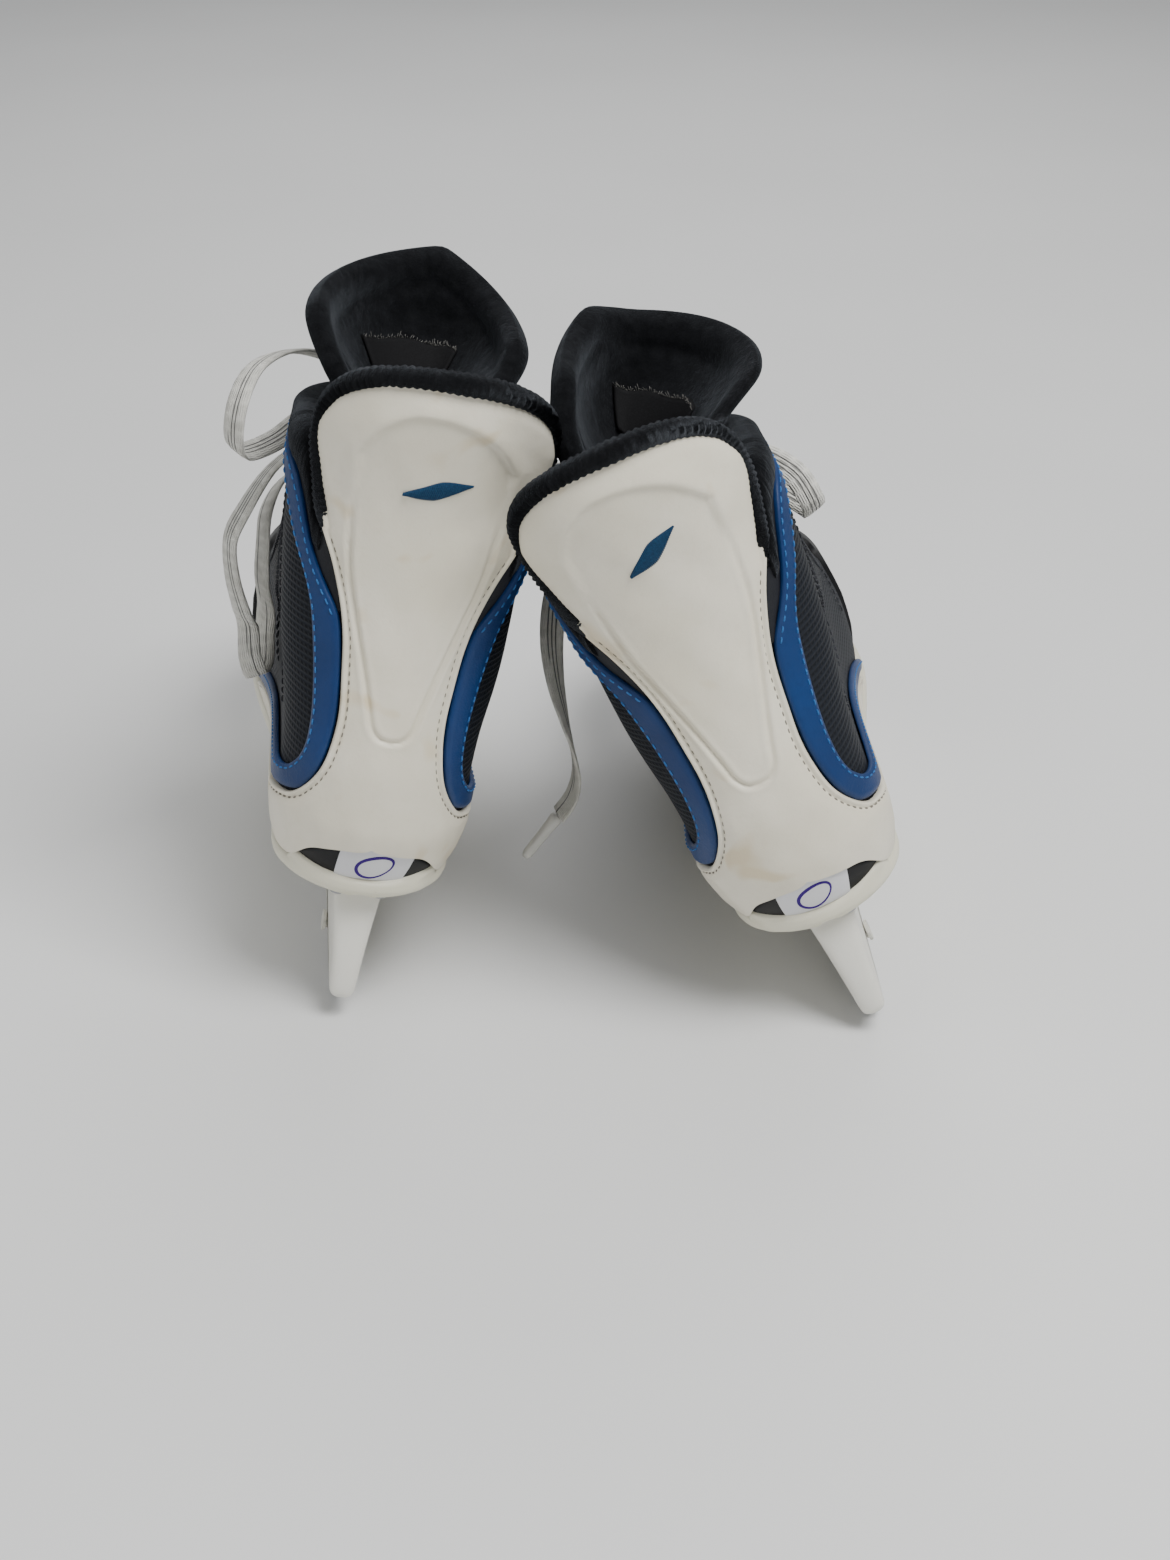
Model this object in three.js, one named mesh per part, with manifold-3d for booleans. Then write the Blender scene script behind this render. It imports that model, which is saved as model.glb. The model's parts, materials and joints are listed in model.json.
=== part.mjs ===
// A pair of junior hockey skates standing on their blades, the two tops leaning together.
// Millimetres, +Z up. Each skate is built in its own frame (X to the right, Y to the toe, Z up, origin
// on the ice under the back of the heel), then leaned, turned and set beside the other one.
//
// The upper of the boot is one smooth surface. A place on it is (a, h): a runs round the boot, 0 at the
// back of the heel, +1 and -1 both at the middle of the toe, positive on the +X side; h is the height
// above the sole line. Panels, padding and stiffeners are regions of that surface, each with its own
// depth: positive outside the leather's face, negative inside it.
import * as THREE from "three";
import { mergeVertices } from "three/addons/utils/BufferGeometryUtils.js";
import Module from "manifold-3d";

const wasm = await Module();
wasm.setup();

// ---- Driving dimensions ----
const BOOT_LENGTH = 254; // back of the heel to the tip of the toe
const HEEL_HALF_WIDTH = 31;
const CUFF_HALF_WIDTH = 41;
const ANKLE_HALF_WIDTH = 38;
const FOREFOOT_HALF_WIDTH = 40;
const CUFF_DEPTH = 88; // back of the heel to the front of the cuff
const TOE_SWING = 10; // how far the toe bends towards the other foot
const CUFF_PRESS = 0.33; // share of its width that the inner side of the cuff is pressed in
const HEEL_LIFT = 56; // sole line above the ice at the heel
const BALL_LIFT = 47; // and at the ball of the foot
const ARCH_START = 45;
const ARCH_END = 185;
const COLLAR_HEIGHT = 137; // side of the collar, above the sole line
const NOTCH_HEIGHT = 112; // dip of the collar beside the tendon guard, where the guard flexes
const GUARD_HEIGHT = 168;
const TONGUE_HEIGHT = 187;
const FACING = 0.9; // a of the quarters' front edges beside the laces
const CAP_EDGE = 0.68; // a of the toe cap's rear edge near the sole
const CAP_HEIGHT = 58;
const SHEET = 2.2; // thickness of the quarters
const TRIM = 1.4; // thickness of the leather sewn on them
const CAP_PROUD = 1.5;
const COUNTER_THICKNESS = 1.3;
const LINER_THICKNESS = 4;
const TONGUE_THICKNESS = 6;
const TONGUE_TOP_THICKNESS = 8;
const GUARD_PADDING = 7;
const OUTSOLE_THICKNESS = 6;
const OUTSOLE_PROUD = 2.6;
const BOARD_THICKNESS = 2.2;
const FOOTBED_THICKNESS = 3.5;
const RUNNER_WIDTH = 3;
const RUNNER_DEPTH = 17; // steel above the ice, most of it inside the holder
const HOLDER_FOOT = 9; // underside of the holder above the ice
const BRIDGE_TOP = 24;
const BOLT_RADIUS = 2.5;
const BOLT_HEIGHT = 13.5;
const BOLTS = { rear: 46, front: 214 }; // distance of each bolt from the heel
const LACE = 5; // thickness of a free lace
const AGLET = { radius: 2, length: 20 };
const EYELET_ROWS = 7;
const LACED = { low: 68, high: 127 }; // heights of the first and the last row of eyelets

// Clearances between pieces that touch.
const GAP = 0.3;
const LAYER_GAP = 1; // between sheets that follow a curve
const SEAM = 0.004; // between neighbouring panels, in a
const PAD_GAP = 1.4; // the tongue behind the liner
const SEAT = 1; // lower edge of the sewn-on pieces above the outsole

// Where each skate stands: cuff is where its middle comes at the notch's height, the lean tips its top
// to +X, and the turn swings its toe to -X.
const SKATES = [
  {
    side: "left", medial: 1, cuff: -47.8, y: 0, turn: 6.5, lean: 11.6,
    flop: { shift: -3, tilt: 2, peak: 0 },
  },
  {
    side: "right", medial: -1, cuff: 28, y: -8, turn: 2.5, lean: -25,
    flop: { shift: 13, tilt: 10, peak: 0.2 },
  },
];

// ---- The boot's surface ----
const BACK = [[0, 6], [8, 3], [22, 0], [36, 0.5], [52, 4], [75, 10], [100, 13.5], [120, 13],
  [140, 10.5], [155, 8], [192, 2]];
const BACK_DEPTH = [[0, 25], [22, 29], [50, 32], [100, 31], [140, 30], [192, 30]];
const REAR_HALF = [[0, HEEL_HALF_WIDTH - 4.5], [8, HEEL_HALF_WIDTH - 2], [18, HEEL_HALF_WIDTH - 0.5],
  [34, HEEL_HALF_WIDTH], [75, CUFF_HALF_WIDTH - 4], [100, CUFF_HALF_WIDTH - 1], [120, CUFF_HALF_WIDTH]];
// The instep's line keeps its shape between the cuff and the toe: share 0 at the cuff, 1 at the toe.
const instep = (share) => CUFF_DEPTH + (BOOT_LENGTH - CUFF_DEPTH) * share;
const FRONT = [[0, BOOT_LENGTH - 11], [8, BOOT_LENGTH - 4], [20, BOOT_LENGTH], [30, BOOT_LENGTH - 2],
  [38, instep(0.946)], [44, instep(0.874)], [48, instep(0.789)], [52, instep(0.669)],
  [62, instep(0.494)], [72, instep(0.38)], [86, instep(0.247)], [100, instep(0.145)],
  [115, instep(0.066)], [130, instep(0.024)], [150, CUFF_DEPTH], [192, CUFF_DEPTH + 2]];
const FRONT_DEPTH = [[0, 62], [20, 60], [44, 50], [60, 46], [80, 41], [100, 37], [130, 34]];
const FRONT_HALF = [[0, FOREFOOT_HALF_WIDTH - 5], [8, FOREFOOT_HALF_WIDTH - 1.5],
  [20, FOREFOOT_HALF_WIDTH], [35, FOREFOOT_HALF_WIDTH - 1], [48, FOREFOOT_HALF_WIDTH - 3.5],
  [60, ANKLE_HALF_WIDTH], [80, ANKLE_HALF_WIDTH], [130, ANKLE_HALF_WIDTH + 2]];
const WAIST = [[0, 7], [20, 6], [50, 2.5], [80, 0]]; // how far the sides are pinched at mid foot
const HEEL_END = 0.3; // a where the round of the heel ends
const TOE_START = 0.7; // a where the round of the toe starts

const clamp01 = (t) => Math.min(1, Math.max(0, t));
const lerp = (from, to, t) => from + (to - from) * t;

function ease(t) {
  const c = clamp01(t);
  return c * c * (3 - 2 * c);
}

// A smooth line through [position, value] pairs, without overshoot, level beyond its ends.
function along(table, x) {
  const last = table.length - 1;
  if (x <= table[0][0]) return table[0][1];
  if (x >= table[last][0]) return table[last][1];
  const slope = (i) => (table[i + 1][1] - table[i][1]) / (table[i + 1][0] - table[i][0]);
  const tangent = (i) => {
    if (i === 0) return slope(0);
    if (i === last) return slope(last - 1);
    const before = slope(i - 1);
    const after = slope(i);
    return before * after <= 0 ? 0 : (2 * before * after) / (before + after);
  };
  let i = 0;
  while (table[i + 1][0] < x) i += 1;
  const width = table[i + 1][0] - table[i][0];
  const t = (x - table[i][0]) / width;
  const rise = t * t * (3 - 2 * t);
  return (
    lerp(table[i][1], table[i + 1][1], rise) +
    t * (1 - t) * (1 - t) * width * tangent(i) -
    t * t * (1 - t) * width * tangent(i + 1)
  );
}

const soleLine = (y) => lerp(HEEL_LIFT, BALL_LIFT, ease((y - ARCH_START) / (ARCH_END - ARCH_START)));

function onBoot(a, h, medial) {
  const turn = ((((a + 1) % 2) + 2) % 2) - 1;
  const side = turn >= 0 ? 1 : -1;
  const s = Math.abs(turn);
  const back = along(BACK, h);
  const backDepth = along(BACK_DEPTH, h);
  const front = along(FRONT, h);
  const frontDepth = along(FRONT_DEPTH, h);
  const rearHalf = along(REAR_HALF, h);
  const frontHalf = along(FRONT_HALF, h);
  let x;
  let y;
  if (s < HEEL_END) {
    const angle = ((s / HEEL_END) * Math.PI) / 2;
    x = rearHalf * Math.sin(angle);
    y = back + backDepth * (1 - Math.cos(angle));
  } else if (s < TOE_START) {
    const t = (s - HEEL_END) / (TOE_START - HEEL_END);
    const pinch = along(WAIST, h) * (side === medial ? 1.3 : 0.7) * Math.sin(Math.PI * t) ** 2;
    x = lerp(rearHalf, frontHalf, ease(t)) - pinch;
    y = lerp(back + backDepth, front - frontDepth, t);
  } else {
    const angle = (((s - TOE_START) / (1 - TOE_START)) * Math.PI) / 2;
    x = frontHalf * Math.cos(angle);
    y = front - frontDepth + frontDepth * Math.sin(angle);
  }
  if (side === medial) x *= 1 - CUFF_PRESS * ease((h - 50) / 70) * ease((s - 0.14) / 0.26);
  const swing = medial * TOE_SWING * (Math.max(0, y - 100) / 150) ** 2;
  return new THREE.Vector3(side * x + swing, y, soleLine(y) + h);
}

function offBoot(a, h, depth, medial) {
  const round = onBoot(a + 0.001, h, medial).sub(onBoot(a - 0.001, h, medial));
  const up = onBoot(a, h + 0.2, medial).sub(onBoot(a, h - 0.2, medial));
  return onBoot(a, h, medial).addScaledVector(round.cross(up).normalize(), depth);
}

// ---- Solids ----
function solidOf(geometry) {
  geometry.deleteAttribute("normal");
  geometry.deleteAttribute("uv");
  const merged = mergeVertices(geometry, 1e-3);
  const vertProperties = new Float32Array(merged.attributes.position.array);
  const triVerts = new Uint32Array(merged.index.array);
  const made = new wasm.Manifold(new wasm.Mesh({ numProp: 3, vertProperties, triVerts }));
  if (made.volume() > 0) return made;
  triVerts.reverse();
  return new wasm.Manifold(new wasm.Mesh({ numProp: 3, vertProperties, triVerts }));
}

// A closed slab between two grids of points; near and far give a point for u and v from 0 to 1.
function slab(columns, rows, near, far) {
  const points = [];
  for (const face of [near, far]) {
    for (let j = 0; j <= rows; j += 1) {
      for (let i = 0; i <= columns; i += 1) points.push(face(i / columns, j / rows));
    }
  }
  const layer = (columns + 1) * (rows + 1);
  const at = (i, j) => j * (columns + 1) + i;
  const index = [];
  const quad = (p, q, r, s) => index.push(p, q, r, p, r, s);
  for (let j = 0; j < rows; j += 1) {
    for (let i = 0; i < columns; i += 1) {
      const [p, q, r, s] = [at(i, j), at(i + 1, j), at(i + 1, j + 1), at(i, j + 1)];
      index.push(p, q, r, p, r, s);
      index.push(layer + p, layer + r, layer + q, layer + p, layer + s, layer + r);
    }
    quad(at(0, j), at(0, j + 1), layer + at(0, j + 1), layer + at(0, j));
    quad(at(columns, j + 1), at(columns, j), layer + at(columns, j), layer + at(columns, j + 1));
  }
  for (let i = 0; i < columns; i += 1) {
    quad(at(i + 1, 0), at(i, 0), layer + at(i, 0), layer + at(i + 1, 0));
    quad(at(i, rows), at(i + 1, rows), layer + at(i + 1, rows), layer + at(i, rows));
  }
  return solidOf(new THREE.BufferGeometry().setFromPoints(points).setIndex(index));
}

// A panel of the boot: place(u, v) gives [a, h]; inner and outer are its depths, numbers or (a, h).
function panel(medial, columns, rows, place, inner, outer) {
  const face = (depth) => (u, v) => {
    const [a, h] = place(u, v);
    return offBoot(a, h, typeof depth === "function" ? depth(a, h) : depth, medial);
  };
  return slab(columns, rows, face(outer), face(inner));
}

// Steps through a list of stations, which sets where the rows of a panel lie.
const stations = (list) => (t) => {
  const place = t * (list.length - 1);
  const i = Math.min(list.length - 2, Math.floor(place + 1e-9));
  return lerp(list[i], list[i + 1], place - i);
};

// The strip of the surface between two lines of [a, h] stations, with the depth of sewn-on leather.
function strip(medial, columns, rows, innerLine, outerLine) {
  const inner = new THREE.SplineCurve(innerLine.map(([a, h]) => new THREE.Vector2(a, h)));
  const outer = new THREE.SplineCurve(outerLine.map(([a, h]) => new THREE.Vector2(a, h)));
  const place = (u, v) => {
    const from = inner.getPoint(v);
    const to = outer.getPoint(v);
    return [lerp(from.x, to.x, u), lerp(from.y, to.y, u)];
  };
  return panel(medial, columns, rows, place, LAYER_GAP, LAYER_GAP + TRIM);
}

const TO_SIDE_VIEW = new THREE.Matrix4().makeBasis(
  new THREE.Vector3(0, 1, 0),
  new THREE.Vector3(0, 0, 1),
  new THREE.Vector3(1, 0, 0),
);

// A side view (y, z) extruded across the skate to half the width that halfWidth(z) gives on each side.
function sideExtrusion(shape, halfWidth) {
  const options = { depth: 2, steps: 1, bevelEnabled: false, curveSegments: 3 };
  const geometry = new THREE.ExtrudeGeometry(shape, options);
  geometry.translate(0, 0, -1).applyMatrix4(TO_SIDE_VIEW);
  const position = geometry.attributes.position;
  for (let i = 0; i < position.count; i += 1) {
    position.setX(i, position.getX(i) * halfWidth(position.getZ(i)));
  }
  return solidOf(geometry);
}

function rodAcross(radius, halfLength, y, z, sides = 10) {
  const geometry = new THREE.CylinderGeometry(radius, radius, 2 * halfLength, sides);
  geometry.rotateZ(Math.PI / 2).translate(0, y, z);
  return solidOf(geometry);
}

// ---- Sole, holder and runner ----
// A plate that follows the sole's outline, drawn in by inset, between two heights above the sole line.
function solePlate({ medial, inset, low, high, level = 0.5, share = 1, from = 0, to = 1, rows = 18 }) {
  const place = (u, v, height) => {
    const s = lerp(0.03, 0.97, ease(lerp(from, to, v)) * 0.5 + lerp(from, to, v) * 0.5);
    const right = offBoot(s, level, -inset, medial);
    const left = offBoot(-s, level, -inset, medial);
    const middle = (right.x + left.x) / 2;
    const x = middle + (lerp(left.x, right.x, u) - middle) * share;
    return new THREE.Vector3(x, right.y, soleLine(right.y) + height);
  };
  return slab(2, rows, (u, v) => place(u, v, high), (u, v) => place(u, v, low));
}

const OUTSOLE_BOTTOM = -GAP - OUTSOLE_THICKNESS;
const HOLDER_TOP = OUTSOLE_BOTTOM - GAP - 0.2;

function holderShape() {
  const top = (y) => soleLine(y) + HOLDER_TOP;
  const shape = new THREE.Shape();
  shape.moveTo(10, HOLDER_FOOT - 1.5);
  shape.lineTo(26, HOLDER_FOOT);
  shape.lineTo(BOOT_LENGTH - 26, HOLDER_FOOT);
  shape.quadraticCurveTo(BOOT_LENGTH - 13, HOLDER_FOOT + 2, BOOT_LENGTH - 10, RUNNER_DEPTH + 2);
  shape.quadraticCurveTo(BOOT_LENGTH - 15, BRIDGE_TOP - 1, BOOT_LENGTH - 26, BRIDGE_TOP + 3);
  shape.quadraticCurveTo(BOOT_LENGTH - 33, 30, BOOT_LENGTH - 34, top(BOOT_LENGTH - 34));
  shape.lineTo(ARCH_END + 6, top(ARCH_END + 6));
  shape.quadraticCurveTo(ARCH_END - 2, 30, ARCH_END - 14, BRIDGE_TOP + 1);
  shape.quadraticCurveTo(ARCH_END - 30, BRIDGE_TOP - 2, 96, BRIDGE_TOP + 1);
  shape.quadraticCurveTo(82, 31, 78, top(78));
  shape.lineTo(12, top(12));
  shape.quadraticCurveTo(6.5, 30, 5.5, HOLDER_FOOT + 2);
  shape.quadraticCurveTo(6, HOLDER_FOOT - 1.5, 10, HOLDER_FOOT - 1.5);
  return shape;
}

const HOLDER_HALF = [[HOLDER_FOOT - 1.5, 3.1], [HOLDER_FOOT + 1.5, 4.2], [22, 5], [36, 6.6], [47, 8.2]];

function runnerShape(clearance) {
  const shape = new THREE.Shape();
  shape.moveTo(11 - clearance, 9);
  shape.quadraticCurveTo(14, 1, 30, -clearance);
  shape.lineTo(BOOT_LENGTH - 52, -clearance);
  shape.quadraticCurveTo(BOOT_LENGTH - 22, 1, BOOT_LENGTH - 10 + clearance, 12);
  shape.lineTo(BOOT_LENGTH - 14, RUNNER_DEPTH + clearance);
  shape.lineTo(13 - clearance, RUNNER_DEPTH + clearance);
  return shape;
}

function boltHoles(clearance) {
  return Object.values(BOLTS).map((y) => rodAcross(BOLT_RADIUS + clearance, 20, y, BOLT_HEIGHT));
}

function blade() {
  let steel = sideExtrusion(runnerShape(0), () => RUNNER_WIDTH / 2);
  for (const hole of boltHoles(GAP)) steel = steel.subtract(hole);
  return steel;
}

function holder(medial) {
  const plate = { medial, inset: 11, share: 0.86, low: HOLDER_TOP - 3, high: HOLDER_TOP };
  let made = sideExtrusion(holderShape(), (z) => along(HOLDER_HALF, z));
  made = made.add(solePlate({ ...plate, from: 0.06, to: 0.42, rows: 5 }));
  made = made.add(solePlate({ ...plate, from: 0.62, to: 0.86, rows: 5 }));
  made = made.subtract(sideExtrusion(runnerShape(GAP), () => RUNNER_WIDTH / 2 + GAP));
  for (const hole of boltHoles(GAP)) made = made.subtract(hole);
  return made;
}

function bolt(y) {
  const face = along(HOLDER_HALF, BOLT_HEIGHT) + GAP + 0.4;
  const head = { radius: 3.6, height: 1 };
  let made = rodAcross(BOLT_RADIUS, face + head.height, y, BOLT_HEIGHT);
  for (const side of [-1, 1]) {
    const cap = new THREE.CylinderGeometry(head.radius, head.radius, head.height, 10);
    cap.rotateZ(Math.PI / 2).translate(side * (face + head.height / 2), y, BOLT_HEIGHT);
    made = made.add(solidOf(cap));
  }
  return made;
}

// ---- Upper ----
const ROWS = [2 * GAP, 14, 26, 36, 44, 51, CAP_HEIGHT, 66, 80, 98, 117, COLLAR_HEIGHT];
const CAP_ROWS = [SEAT + 0.4, ...ROWS.slice(1, ROWS.indexOf(CAP_HEIGHT) + 1)];
const COLLAR = [[0, NOTCH_HEIGHT - GAP], [0.15, NOTCH_HEIGHT - GAP], [0.165, NOTCH_HEIGHT + 1],
  [0.178, NOTCH_HEIGHT + 7], [0.19, NOTCH_HEIGHT + 13], [0.21, COLLAR_HEIGHT - 5.5],
  [0.25, COLLAR_HEIGHT - 1.5], [0.35, COLLAR_HEIGHT]];
const SPREAD = stations([0, 0.045, 0.09, 0.135, 0.18, 0.225, 0.27, 0.32, 0.38, 0.48, 0.6, 0.7, 0.78,
  0.85, 0.93, 1]); // closer columns round the heel and beside the laces

const frontEdge = (h) => lerp(CAP_EDGE, FACING, ease((h - 40) / 25));

// One side of the boot from a = start to the facing, sole to collar; its rows follow the collar's edge.
function sidePlace(start, inset, lift) {
  return (u, v) => {
    const level = stations(ROWS)(v);
    const a = lerp(start, frontEdge(level) - inset, SPREAD(u));
    const share = (level - ROWS[0]) / (COLLAR_HEIGHT - ROWS[0]);
    return [a, lerp(ROWS[0] + lift, along(COLLAR, a) - lift / 8, share)];
  };
}

const flipped = (side, place) => (u, v) => {
  const [a, h] = place(u, v);
  return [side * a, h];
};

const quarter = (medial, side) =>
  panel(medial, 15, ROWS.length - 1, flipped(side, sidePlace(SEAM / 2, 0, 0)), -SHEET, 0);

function toeCap(medial) {
  const place = (u, v) => {
    const h = stations(CAP_ROWS)(v);
    const edge = frontEdge(h) + SEAM * 1.5;
    return [lerp(edge, 2 - edge, u), h];
  };
  return panel(medial, 12, CAP_ROWS.length - 1, place, -SHEET, CAP_PROUD);
}

// The white heel panel: from its edge beside the bands to the middle of the back, the arch over the
// heel insert and the sole.
const ARCH_HALF = 0.195;
const ARCH_RISE = 15;
const archHeight = (a) => ARCH_RISE * (1 - (a / ARCH_HALF) ** 2);
const PANEL_TOP = NOTCH_HEIGHT - GAP;
const PANEL_EDGE = [[0.15, PANEL_TOP], [0.125, 102], [0.105, 90], [0.095, 79], [0.092, 67], [0.092, 57],
  [0.1, 48], [0.119, 37.5], [0.15, 28.5], [0.19, 22.5], [0.24, 19.8], [0.34, 17], [0.45, 13],
  [0.54, 8], [0.6, 2.5]];
const PANEL_MIDDLE = [[0, PANEL_TOP], [0, 102], [0, 90], [0, 79], [0, 67], [0, 57], [0, 48],
  [0, 37.5], [0, 26], [0, ARCH_RISE], [0.105, archHeight(0.105)], [ARCH_HALF - 0.002, SEAT + 0.2],
  [0.3, SEAT], [0.45, SEAT], [0.58, SEAT]];

function heelPanel(medial) {
  const half = (side) => strip(medial, 3, 28, mirrored(PANEL_MIDDLE, side), mirrored(PANEL_EDGE, side));
  return half(1).add(half(-1));
}

const mirrored = (line, side) => line.map(([a, h]) => [side * a, h]);

function heelInsert(medial) {
  const half = ARCH_HALF - 0.025;
  const place = (u, v) => {
    const a = lerp(-half, half, u);
    return [a, lerp(SEAT, archHeight(a) - 1.6, v)];
  };
  return panel(medial, 10, 1, place, LAYER_GAP, LAYER_GAP + 0.8);
}

// The blue bands: a thin arm under the collar's edge, joined beside the notch by the wide part that
// follows the heel panel down and sweeps forward over its strip.
const BAND_OUTER = [[0.78, 124.5], [0.55, 124.5], [0.4, 124.5], [0.31, 123], [0.265, 118.5],
  [0.235, 111], [0.207, 103], [0.18, 95], [0.163, 87], [0.155, 79], [0.15, 70], [0.149, 59],
  [0.153, 50], [0.165, 41.5], [0.19, 35], [0.235, 30], [0.33, 27.5], [0.44, 22.5], [0.54, 16],
  [0.62, 6]];
const BAND_INNER = [[0.78, 130.5], [0.55, 130.5], [0.4, 130.5], [0.3, 129.5], [0.245, 126],
  [0.21, 119.5], [0.187, 111], [0.165, 102], [0.138, 94], [0.11, 86], [0.1, 76], [0.098, 62],
  [0.1035, 51], [0.12, 40.5], [0.147, 31.5], [0.192, 25.2], [0.34, 19], [0.45, 15.2], [0.545, 10],
  [0.612, 4]];

const band = (medial, side) =>
  strip(medial, 2, 26, mirrored(BAND_INNER, side), mirrored(BAND_OUTER, side));

function eyestay(medial, side) {
  const rows = ROWS.slice(ROWS.indexOf(66));
  const place = (u, v) => [side * lerp(0.8, FACING - 0.01, u), Math.min(stations(rows)(v), 131)];
  return panel(medial, 2, rows.length - 1, place, LAYER_GAP, LAYER_GAP + TRIM);
}

const COUNTER_OUTER = -SHEET - LAYER_GAP - GAP;
const COUNTER_INNER = COUNTER_OUTER - COUNTER_THICKNESS;
const LINER_OUTER = COUNTER_INNER - LAYER_GAP;
const LINER_INNER = LINER_OUTER - LINER_THICKNESS;
const TONGUE_OUTER = LINER_INNER - PAD_GAP;

function heelCounter(medial) {
  const place = (u, v) => [lerp(-0.33, 0.33, u), lerp(5, 70, v)];
  return panel(medial, 14, 4, place, COUNTER_INNER, COUNTER_OUTER);
}

function liner(medial) {
  const half = sidePlace(0, 0.012, BOARD_THICKNESS + 2.5);
  const place = (u, v) => {
    const [a, h] = half(Math.abs(2 * u - 1), v);
    return [u < 0.5 ? -a : a, h];
  };
  return panel(medial, 30, 6, place, LINER_INNER, LINER_OUTER);
}

// ---- Tendon guard ----
const GUARD_HALF = [[NOTCH_HEIGHT, 0.15], [NOTCH_HEIGHT + 7, 0.16], [NOTCH_HEIGHT + 19, 0.178],
  [NOTCH_HEIGHT + 29, 0.19], [GUARD_HEIGHT, 0.188]];

const CROWN = 2.2; // how square the top of the guard is

function guardPlace(inset) {
  return (u, v) => {
    const across = 2 * u - 1;
    const crown = (1 - Math.abs(across) ** CROWN) ** (1 / CROWN);
    const top = lerp(GUARD_HEIGHT - 24, GUARD_HEIGHT, crown) - inset * 120;
    const h = lerp(NOTCH_HEIGHT + 2 * GAP, top, v);
    return [across * (along(GUARD_HALF, h) - inset), h];
  };
}

const tendonGuard = (medial) => panel(medial, 10, 5, guardPlace(0), LAYER_GAP, LAYER_GAP + TRIM);
const guardLining = (medial) => panel(medial, 10, 5, guardPlace(0.008), -GUARD_PADDING, 0);

// ---- Tongue ----
const TONGUE_HALF = 0.3;
const TONGUE_FLARE = [[COLLAR_HEIGHT, TONGUE_HALF - 0.01], [COLLAR_HEIGHT + 14, 0.56],
  [COLLAR_HEIGHT + 30, 0.58]];
const TONGUE_EDGE = [[0, TONGUE_HEIGHT], [0.3, TONGUE_HEIGHT - 10], [0.5, TONGUE_HEIGHT - 17],
  [1, TONGUE_HEIGHT - 36]];

function tongue(medial) {
  const rows = [55, 61, 68, 80, 98, 117, COLLAR_HEIGHT + GAP];
  const place = (u, v) => [1 + lerp(-TONGUE_HALF, TONGUE_HALF, u) * 0.93, stations(rows)(v)];
  return panel(medial, 8, rows.length - 1, place, TONGUE_OUTER - TONGUE_THICKNESS, TONGUE_OUTER);
}

// The tops flop sideways: shifted (mm) and tilted (degrees) above the collar.
// The peak of the edge is off the middle too, as a share of the half width.
function tongueTop(medial, { shift, tilt, peak }) {
  const low = COLLAR_HEIGHT + 4 * GAP;
  const base = soleLine(CUFF_DEPTH) + low;
  const outer = (a, h) => lerp(TONGUE_OUTER, 2, ease((h - low - 2) / 26));
  const face = (thickness) => (u, v) => {
    const across = 2 * u - 1;
    const h = lerp(low, along(TONGUE_EDGE, Math.abs(across - peak)), v);
    const a = 1 + across * along(TONGUE_FLARE, h);
    const point = offBoot(a, h, outer(a, h) - thickness, medial);
    const angle = THREE.MathUtils.degToRad(tilt) * ease((h - low) / 25);
    const loose = ease((h - low) / 40);
    const { x } = point;
    const rise = point.z - base;
    point.x = x * Math.cos(angle) + rise * Math.sin(angle) + shift * loose;
    point.z = base + rise * Math.cos(angle) - x * Math.sin(angle);
    return point;
  };
  return slab(10, 5, face(0), face(TONGUE_TOP_THICKNESS));
}

// ---- Laces ----
// Depth of the lacing: over the eyestays at its ends, down on the tongue in the middle.
const LACE_DIP = [[0, TONGUE_OUTER + 1], [0.044, TONGUE_OUTER + 3.5], [0.088, LAYER_GAP + TRIM + 1.2],
  [0.1, LAYER_GAP + TRIM + 1.5], [0.14, LAYER_GAP + TRIM + 1.5]];
const LACING_THICKNESS = 1.3;
const LACING_HALF_WIDTH = 3.2;
const EYELET = 0.132; // the eyelets' distance from the middle of the front, in a

function lacing(medial) {
  const depth = (lift) => (a) => along(LACE_DIP, Math.abs(a - 1)) + lift;
  const piece = (columns, rows, place) =>
    panel(medial, columns, rows, place, depth(0), depth(LACING_THICKNESS));
  const rowHeight = (i) => lerp(LACED.low, LACED.high, i / (EYELET_ROWS - 1));
  const rail = (side) =>
    piece(1, 6, (u, v) => [
      1 + side * (EYELET + lerp(-0.012, 0.012, u)),
      lerp(LACED.low - LACING_HALF_WIDTH, LACED.high + LACING_HALF_WIDTH, v),
    ]);
  let made = rail(1).add(rail(-1));
  for (let i = 0; i < EYELET_ROWS; i += 1) {
    const place = (u, v) => [
      1 + lerp(-EYELET, EYELET, u),
      rowHeight(i) + lerp(-1, 1, v) * LACING_HALF_WIDTH,
    ];
    made = made.add(piece(6, 1, place));
  }
  return made;
}

const KNOT = { h: 123, depth: -2.2, half: [8.5, 5.5, 6.5] };

function knot(medial) {
  const centre = offBoot(1, KNOT.h, KNOT.depth, medial);
  const geometry = new THREE.SphereGeometry(1, 10, 6).scale(...KNOT.half);
  return solidOf(geometry.translate(centre.x, centre.y, centre.z));
}

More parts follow.
